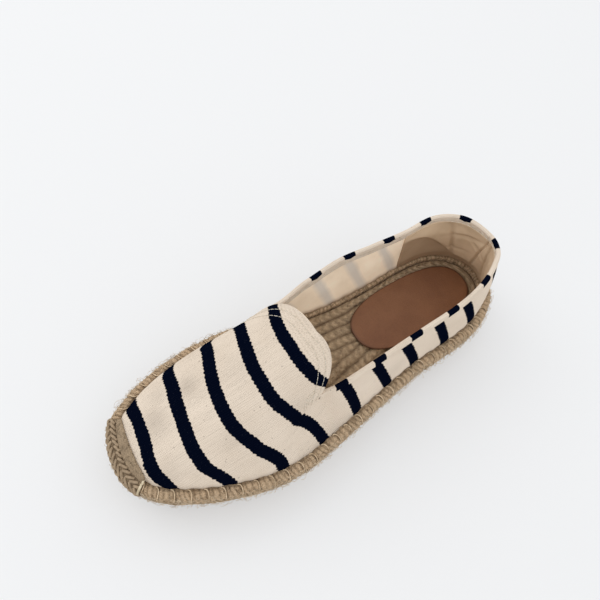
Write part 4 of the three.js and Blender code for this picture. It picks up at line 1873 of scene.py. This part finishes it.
    def make_stitches(self) -> None:
        """Sews the blanket stitches over the edge row, and the twisted line under it."""
        lap = EdgeWalk(self.last).lap()
        pitch = lap / self.blocks
        random = np.random.default_rng(7)
        stitches: list[Array] = []
        steps = np.array(self.blanket)
        for k in range(self.blocks):
            lean, start = random.normal(0, 0.35), k * pitch + random.normal(0, 0.15)
            distance = start + steps[:, 2] + lean * np.linspace(0, 1, len(steps))
            fine = np.linspace(0, len(steps) - 1, 26)
            inset, down, walked = (np.interp(fine, range(len(steps)), column)
                                   for column in (steps[:, 0], steps[:, 1], distance))
            stitches.append(self.path(walked, inset + 0.12, down))
        finish = Thread("jute_thread", (0.80, 0.62, 0.42), (0.46, 0.33, 0.20))
        self.maker.threads("blanket_stitches", stitches, finish, "jute", 0.3)
        distance = np.linspace(0, lap, self.blocks * 20 + 1)
        twist: list[Array] = []
        for ply in (0, PI):
            angle = 2 * PI * distance * round(lap / 5.2) / lap + ply
            twist.append(self.path(distance, 1.25 + 0.42 * np.cos(angle), 10.35 + 0.42 * np.sin(angle)))
        self.maker.threads("side_thread", twist, Thread("side_thread", (0.50, 0.39, 0.25)), "jute", 0.46)

    def make_fuzz(self) -> None:
        """Scatters loose fibres over the edge row."""
        random = np.random.default_rng(23)
        lap, steps = EdgeWalk(self.last).lap(), np.linspace(0, 1, 6)
        fibres: list[Array] = []
        for _ in range(self.fibres):
            walked, down = random.uniform(0, lap), random.uniform(0.4, 9.4)
            root = np.interp(down, (0, 1.3, 3.5, 9.5), (3.0, 1.0, 0.2, 0.4)) + 0.25
            run, drop = random.normal(0, 2.6), random.normal(0.3, 1.3)
            stand = abs(random.normal(0, self.fuzz)) + 0.35
            fibres.append(self.path(walked + run * steps + random.normal(0, 0.4) * steps**2,
                                    root - stand * np.sin(PI * steps * 0.7), down + drop * steps))
        finish = Thread("fibre", (0.80, 0.66, 0.48), (0.52, 0.40, 0.27))
        self.maker.threads("loose_fibres", fibres, finish, "jute", 0.085, 3)

    def make_footbed(self) -> None:
        """Makes the footbed: rows of plait coiled side by side."""
        last, pitch = self.last, self.plait_pitch
        lines, places = self.footbed_points
        turns = np.linspace(0.0, PI, lines + 2)[1:-1]
        outer, inner = last.inset(turns, self.footbed_inset), last.inset(2 * PI - turns, self.footbed_inset)
        t = (1 - np.cos(np.linspace(0, PI, places))) / 2
        flat = outer[:, None, :] * (1 - t[None, :, None]) + inner[:, None, :] * t[None, :, None]
        rim = last.inset(np.linspace(0, 2 * PI, 700), self.footbed_inset)
        away = np.min([np.linalg.norm(flat - point, axis=-1) for point in rim], axis=0)
        x, y = flat[..., 0], flat[..., 1]
        wander = (0.5 * np.sin(x * 0.11 + y * 0.05) + 0.3 * np.sin(x * 0.31)) * smoothstep(away, 1, 5)
        bulge = np.abs(np.sin(PI * (away + wander) / pitch)) ** 0.55
        from_middle = np.abs(np.mod((away + wander) / pitch, 1) - 0.5)
        lay = np.sin(2 * PI * (x / 4.6 + from_middle * 1.3) + 0.8 * np.sin(x * 0.23 + away)) * bulge
        z = last.seam(x) - 1 - 1.3 * (1 - bulge) + 0.3 * lay - 0.3
        points = np.concatenate([flat, z[..., None]], -1).reshape(-1, 3)
        # Painted shade: the rows darken in the grooves between them and at the rim.
        rise = np.clip((bulge - 0.25) / 0.6, 0, 1) * (0.72 + 0.28 * lay) - 0.5 * (away < 0.7)
        rise = np.clip(rise, 0, 1).ravel()
        uv = np.stack([x, away], -1).reshape(-1, 2)
        sheet = Sheet(points, grid_faces(lines, places), uv, {"rise": rise, "soil_and_shade": 1 - rise})
        sheet.face_up()
        finish = Jute("footbed_braid", (0.75, 0.56, 0.365), (0.39, 0.27, 0.165), fibre=(2.4, 0.6), ply=3.6)
        self.maker.piece("footbed_rows", sheet.thickened(0, -4.0), finish, "footbed_jute", ("footbed",))

    def make_sock(self) -> None:
        """Makes the leather pad under the heel."""
        last, middle, (half_length, half_width) = self.last, self.sock_middle, self.sock_half
        turns = np.linspace(0, 2 * PI, 200, endpoint=False)
        shares = np.array([1, 0.985, 0.96, 0.9, 0.8, 0.6, 0.4, 0.2])
        drops = np.array([0.55, 0.12, 0.02, 0, 0, 0, 0, 0])
        power = 2 / self.sock_full
        rounded = np.stack([np.sign(f(turns)) * np.abs(f(turns)) ** power for f in (np.cos, np.sin)], -1)
        rounded = rounded[:, None, :] * shares[None, :, None]
        flat = np.array(middle) + rounded * np.array([-half_length, half_width])
        x, y = flat[..., 0], flat[..., 1]
        dent = 0.30 * np.exp(-(((x - 48) / 20) ** 2) - ((y + 2) / 12) ** 2)
        ripple = 0.10 * np.sin(x * 0.23 + y * 0.4) * (shares[None, :] < 0.97)
        z = last.seam(x) + 0.5 - drops[None, :] - dent + ripple
        points = np.concatenate([flat, z[..., None]], -1).reshape(-1, 3)
        ring = len(shares)
        faces: list[tuple[int, ...]] = []
        for k in range(len(turns)):
            here, there = k * ring, (k + 1) % len(turns) * ring
            faces += [(here + i, here + i + 1, there + i + 1, there + i) for i in range(ring - 1)]
            faces.append((here + ring - 1, len(points), there + ring - 1))
        centre = np.array([[*middle, float(last.seam(middle[0])) + 0.35]])
        # The pad darkens towards its edge.
        soil_and_shade = np.concatenate([np.tile(bell(1 - shares, 0.02), len(turns)) * 0.8, [0]])
        points = np.concatenate([points, centre])
        sheet = Sheet(points, faces, points[:, :2], {"soil_and_shade": soil_and_shade})
        sheet.face_up()
        pad = sheet.thickened(0, -1.1, 0.1)
        self.maker.piece("leather_heel_sock", pad, Leather("heel_leather"), "leather", ("heel_sock",))

    def make(self) -> None:
        """Makes every piece of the sole."""
        self.make_edge()
        self.make_coil()
        self.make_stitches()
        self.make_fuzz()
        self.make_footbed()
        self.make_sock()
        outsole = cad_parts["outsole"]
        for slot in outsole.material_slots:
            slot.material = Rubber("tan_rubber").make()


@dataclass
class ToeCover:
    """The crocheted jute cover over the toe: rows of looped stitches on a thin cloth.

    Args:
        upper: The upper that it lies on.
        outer_turn: How far round it reaches on the outer side.
        inner_turn: How far round it reaches on the inner side.
        top: How high up the wall it reaches in the middle.
        end_top: How high it reaches at its ends.
        rows: Rows of loops.
        pitch: The distance between loops.
        band: The share of its breadth that is a plain roll.
        stations: Lines of points around it.
        samples: Points on each line.
        over: The way over the edge row: in from the sole's edge, and down from its top.
    """

    upper: Upper
    outer_turn: float = 0.25
    inner_turn: float = 0.37
    top: float = 0.98
    end_top: float = 0.3
    rows: int = 2
    pitch: float = 2.9
    band: float = 0.36
    stations: int = 90
    samples: int = 30
    over: Rows = (
        (4.6, -0.75), (3.4, -0.6), (2.0, 0.1), (0.8, 1.2), (0.0, 2.8), (-0.35, 4.8), (-0.2, 6.8),
        (0.5, 8.8),
    )

    def surface(self) -> Array:
        """The cover's middle face, from the canvas over the edge row, by station and sample."""
        last = self.upper.last
        turns = np.linspace(PI - self.outer_turn, PI + self.inner_turn, self.stations)
        swell = np.sin(PI * np.linspace(0, 1, self.stations)) ** 0.5
        lines = []
        over = np.array(self.over)
        for turn, top in zip(turns, self.end_top + (self.top - self.end_top) * swell):
            around = np.full(len(over), turn)
            shares = np.linspace(top, 0.05, len(over))
            canvas = last.upper(around, shares) + last.facing(around, shares) * 0.9
            flat = last.inset(around, over[:, 0])
            edge = np.concatenate([flat, (last.seam(flat[:, 0]) - over[:, 1])[:, None]], -1)
            line = np.concatenate([canvas, edge])
            walked = distances(line)
            lines.append(read_line(line, walked, np.linspace(0, walked[-1], self.samples)))
        return np.array(lines)

    def make(self) -> None:
        """Makes the cover's cloth, its looped stitches and its tied end."""
        stations, samples = self.stations, self.samples
        grid = self.surface()
        walked = distances(grid[:, 8])
        faces = [(k * samples + i, (k + 1) * samples + i, (k + 1) * samples + i + 1, k * samples + i + 1)
                 for k in range(stations - 1) for i in range(samples - 1)]
        uv = np.stack(np.meshgrid(walked, np.linspace(0, 16, samples), indexing="ij"), -1)
        level = np.tile(np.linspace(0, 1, samples), stations)
        rolled = 1 - smoothstep(level, self.band - 0.03, self.band + 0.05)
        # Painted shade: the looped part is darker than the plain roll.
        rise = 0.6 + 0.4 * rolled
        sheet = Sheet(grid.reshape(-1, 3), faces, uv.reshape(-1, 2), {"rise": rise, "soil_and_shade": 1 - rise})
        out = sheet.normals()
        if np.sum(out * (sheet.points - np.array([200, -3, 20]))) < 0:
            sheet.faces = [face[::-1] for face in sheet.faces]
            out = -out
        finish = Jute("toe_cloth", (0.48, 0.355, 0.235), (0.255, 0.18, 0.11))
        roll = 0.1 + 0.75 * rolled * np.sin(PI * np.clip(level / self.band, 0, 1)) ** 0.6
        cloth = sheet.thickened(roll, -0.5, 0.1)
        self.upper.maker.piece("toe_cover", cloth, finish, "jute", ("toe_braid",))
        normals = out.reshape(stations, samples, 3)

        def at(distance: Array, level: Array, lift: Array) -> Array:
            """A line over the cover.

            Args:
                distance: Distances along the cover.
                level: Shares of the way down it.
                lift: Heights over it.

            Returns:
                The points.
            """
            i = np.interp(distance, walked, np.arange(stations))
            j = np.clip(level, 0, 1) * (samples - 1)
            i0, j0 = np.minimum(i.astype(int), stations - 2), np.minimum(j.astype(int), samples - 2)
            u, v = (i - i0)[:, None], (j - j0)[:, None]
            point = ((1 - u) * (1 - v) * grid[i0, j0] + u * (1 - v) * grid[i0 + 1, j0]
                     + (1 - u) * v * grid[i0, j0 + 1] + u * v * grid[i0 + 1, j0 + 1])
            return point + normals[i0, j0] * lift[:, None]

        random = np.random.default_rng(11)
        loops: list[Array] = []
        t = np.linspace(0, 1, 9)
        for row in range(self.rows):
            centre = self.band + (1 - self.band) * (row + 0.5) / self.rows
            half = 0.5 * (1 - self.band) / self.rows
            for start in np.arange(0.4, walked[-1] - self.pitch, self.pitch):
                for leg in (-1, 1):
                    jitter = random.normal(0, 0.012)
                    level = centre + leg * half * (0.95 - 0.85 * t) + jitter
                    distance = start + (self.pitch * 1.15) * t + random.normal(0, 0.12)
                    loops.append(at(distance, level, 0.15 + 0.5 * np.sin(PI * t) ** 0.8))
        yarn = Thread("toe_yarn", (0.45, 0.335, 0.22), (0.285, 0.205, 0.13))
        self.upper.maker.threads("toe_loops", loops, yarn, "jute", 0.76)
        end = at(np.full(12, 0.3), np.linspace(0.02, 0.62, 12), 0.7 + 0.5 * np.sin(np.linspace(0, PI, 12)))
        tie = Thread("tie_yarn", (0.78, 0.66, 0.47), (0.5, 0.4, 0.26))
        self.upper.maker.threads("toe_tie", [end], tie, "jute", 0.6, 8)


@dataclass(frozen=True)
class Studio:
    """Pale floor, soft light and the camera, in metres.

    Args:
        place: Where the camera is.
        forward: Where it looks.
        up: Its upward direction.
        lens: Its focal length in millimetres.
        floor: Half the floor's side.
        sky: The strength of the soft light from all around.
        sky_colour: That light's colour.
        window: Where the lamp hangs.
        window_size: The lamp's side.
        key: The lamp's power in watts.
    """

    place: tuple[float, float, float] = (0.12672, 0.08915, 0.34772)
    forward: tuple[float, float, float] = (-0.36525, -0.34469, -0.86474)
    up: tuple[float, float, float] = (-0.43525, -0.7579, 0.48594)
    lens: float = 38.03
    floor: float = 2
    sky: float = 1.0
    sky_colour: Colour = (0.955, 0.975, 1.0)
    window: tuple[float, float, float] = (0.5, -0.9, 1.1)
    window_size: float = 0.9
    key: float = 3.0

    def make(self) -> None:
        """Sets up the floor, the lights and the camera."""
        scene = bpy.context.scene
        scene.view_settings.view_transform = "Standard"
        mesh = bpy.data.meshes.new("floor")
        half = self.floor
        corners = [(-half, -half, 0), (half, -half, 0), (half, half, 0), (-half, half, 0)]
        mesh.from_pydata(corners, [], [(0, 1, 2, 3)])
        mesh.uv_layers.new(name=CLOTH_UV)
        floor = bpy.data.objects.new("floor", mesh)
        floor.data.materials.append(PaleFloor("pale_floor").make())
        scene.collection.objects.link(floor)
        floor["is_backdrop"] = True
        world = bpy.data.worlds.new("soft_sky")
        world.use_nodes = True
        background = world.node_tree.nodes["Background"].inputs
        background["Color"].default_value = (*self.sky_colour, 1)
        background["Strength"].default_value = self.sky
        scene.world = world
        self.lamp("window", self.window, self.window_size, self.key)
        data = bpy.data.cameras.new("camera")
        data.lens, data.sensor_width, data.clip_start = self.lens, 36, 0.01
        camera = bpy.data.objects.new("camera", data)
        scene.collection.objects.link(camera)
        forward, up = Vector(self.forward).normalized(), Vector(self.up).normalized()
        right = forward.cross(up)
        turn = Matrix((right, right.cross(forward), -forward)).transposed()
        camera.matrix_world = Matrix.Translation(self.place) @ turn.to_4x4()
        scene.camera = camera

    def lamp(self, name: str, place: tuple[float, float, float], size: float, power: float) -> None:
        """Hangs a square area lamp that faces the shoe.

        Args:
            name: Its name.
            place: Where it hangs.
            size: Its side.
            power: Its power in watts.
        """
        data = bpy.data.lights.new(name, "AREA")
        data.shape, data.size, data.energy = "SQUARE", size, power
        lamp = bpy.data.objects.new(name, data)
        lamp.location = place
        lamp.rotation_mode = "QUATERNION"
        lamp.rotation_quaternion = (-Vector(place)).to_track_quat("-Z", "Y")
        bpy.context.scene.collection.objects.link(lamp)


def main() -> None:
    """Builds the shoe around its frame, and the studio around the shoe."""
    logging.basicConfig(level=logging.INFO, format="%(name)s: %(message)s")
    maker = Maker(Last())
    upper = Upper(maker)
    upper.make()
    Sole(maker).make()
    ToeCover(upper).make()
    Studio().make()
    boxes = {"cad": CAD_BOX, "visual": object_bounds()}
    boxes = {key: [list(corner) for corner in box] for key, box in boxes.items()}


if __name__ == "__main__":
    main()
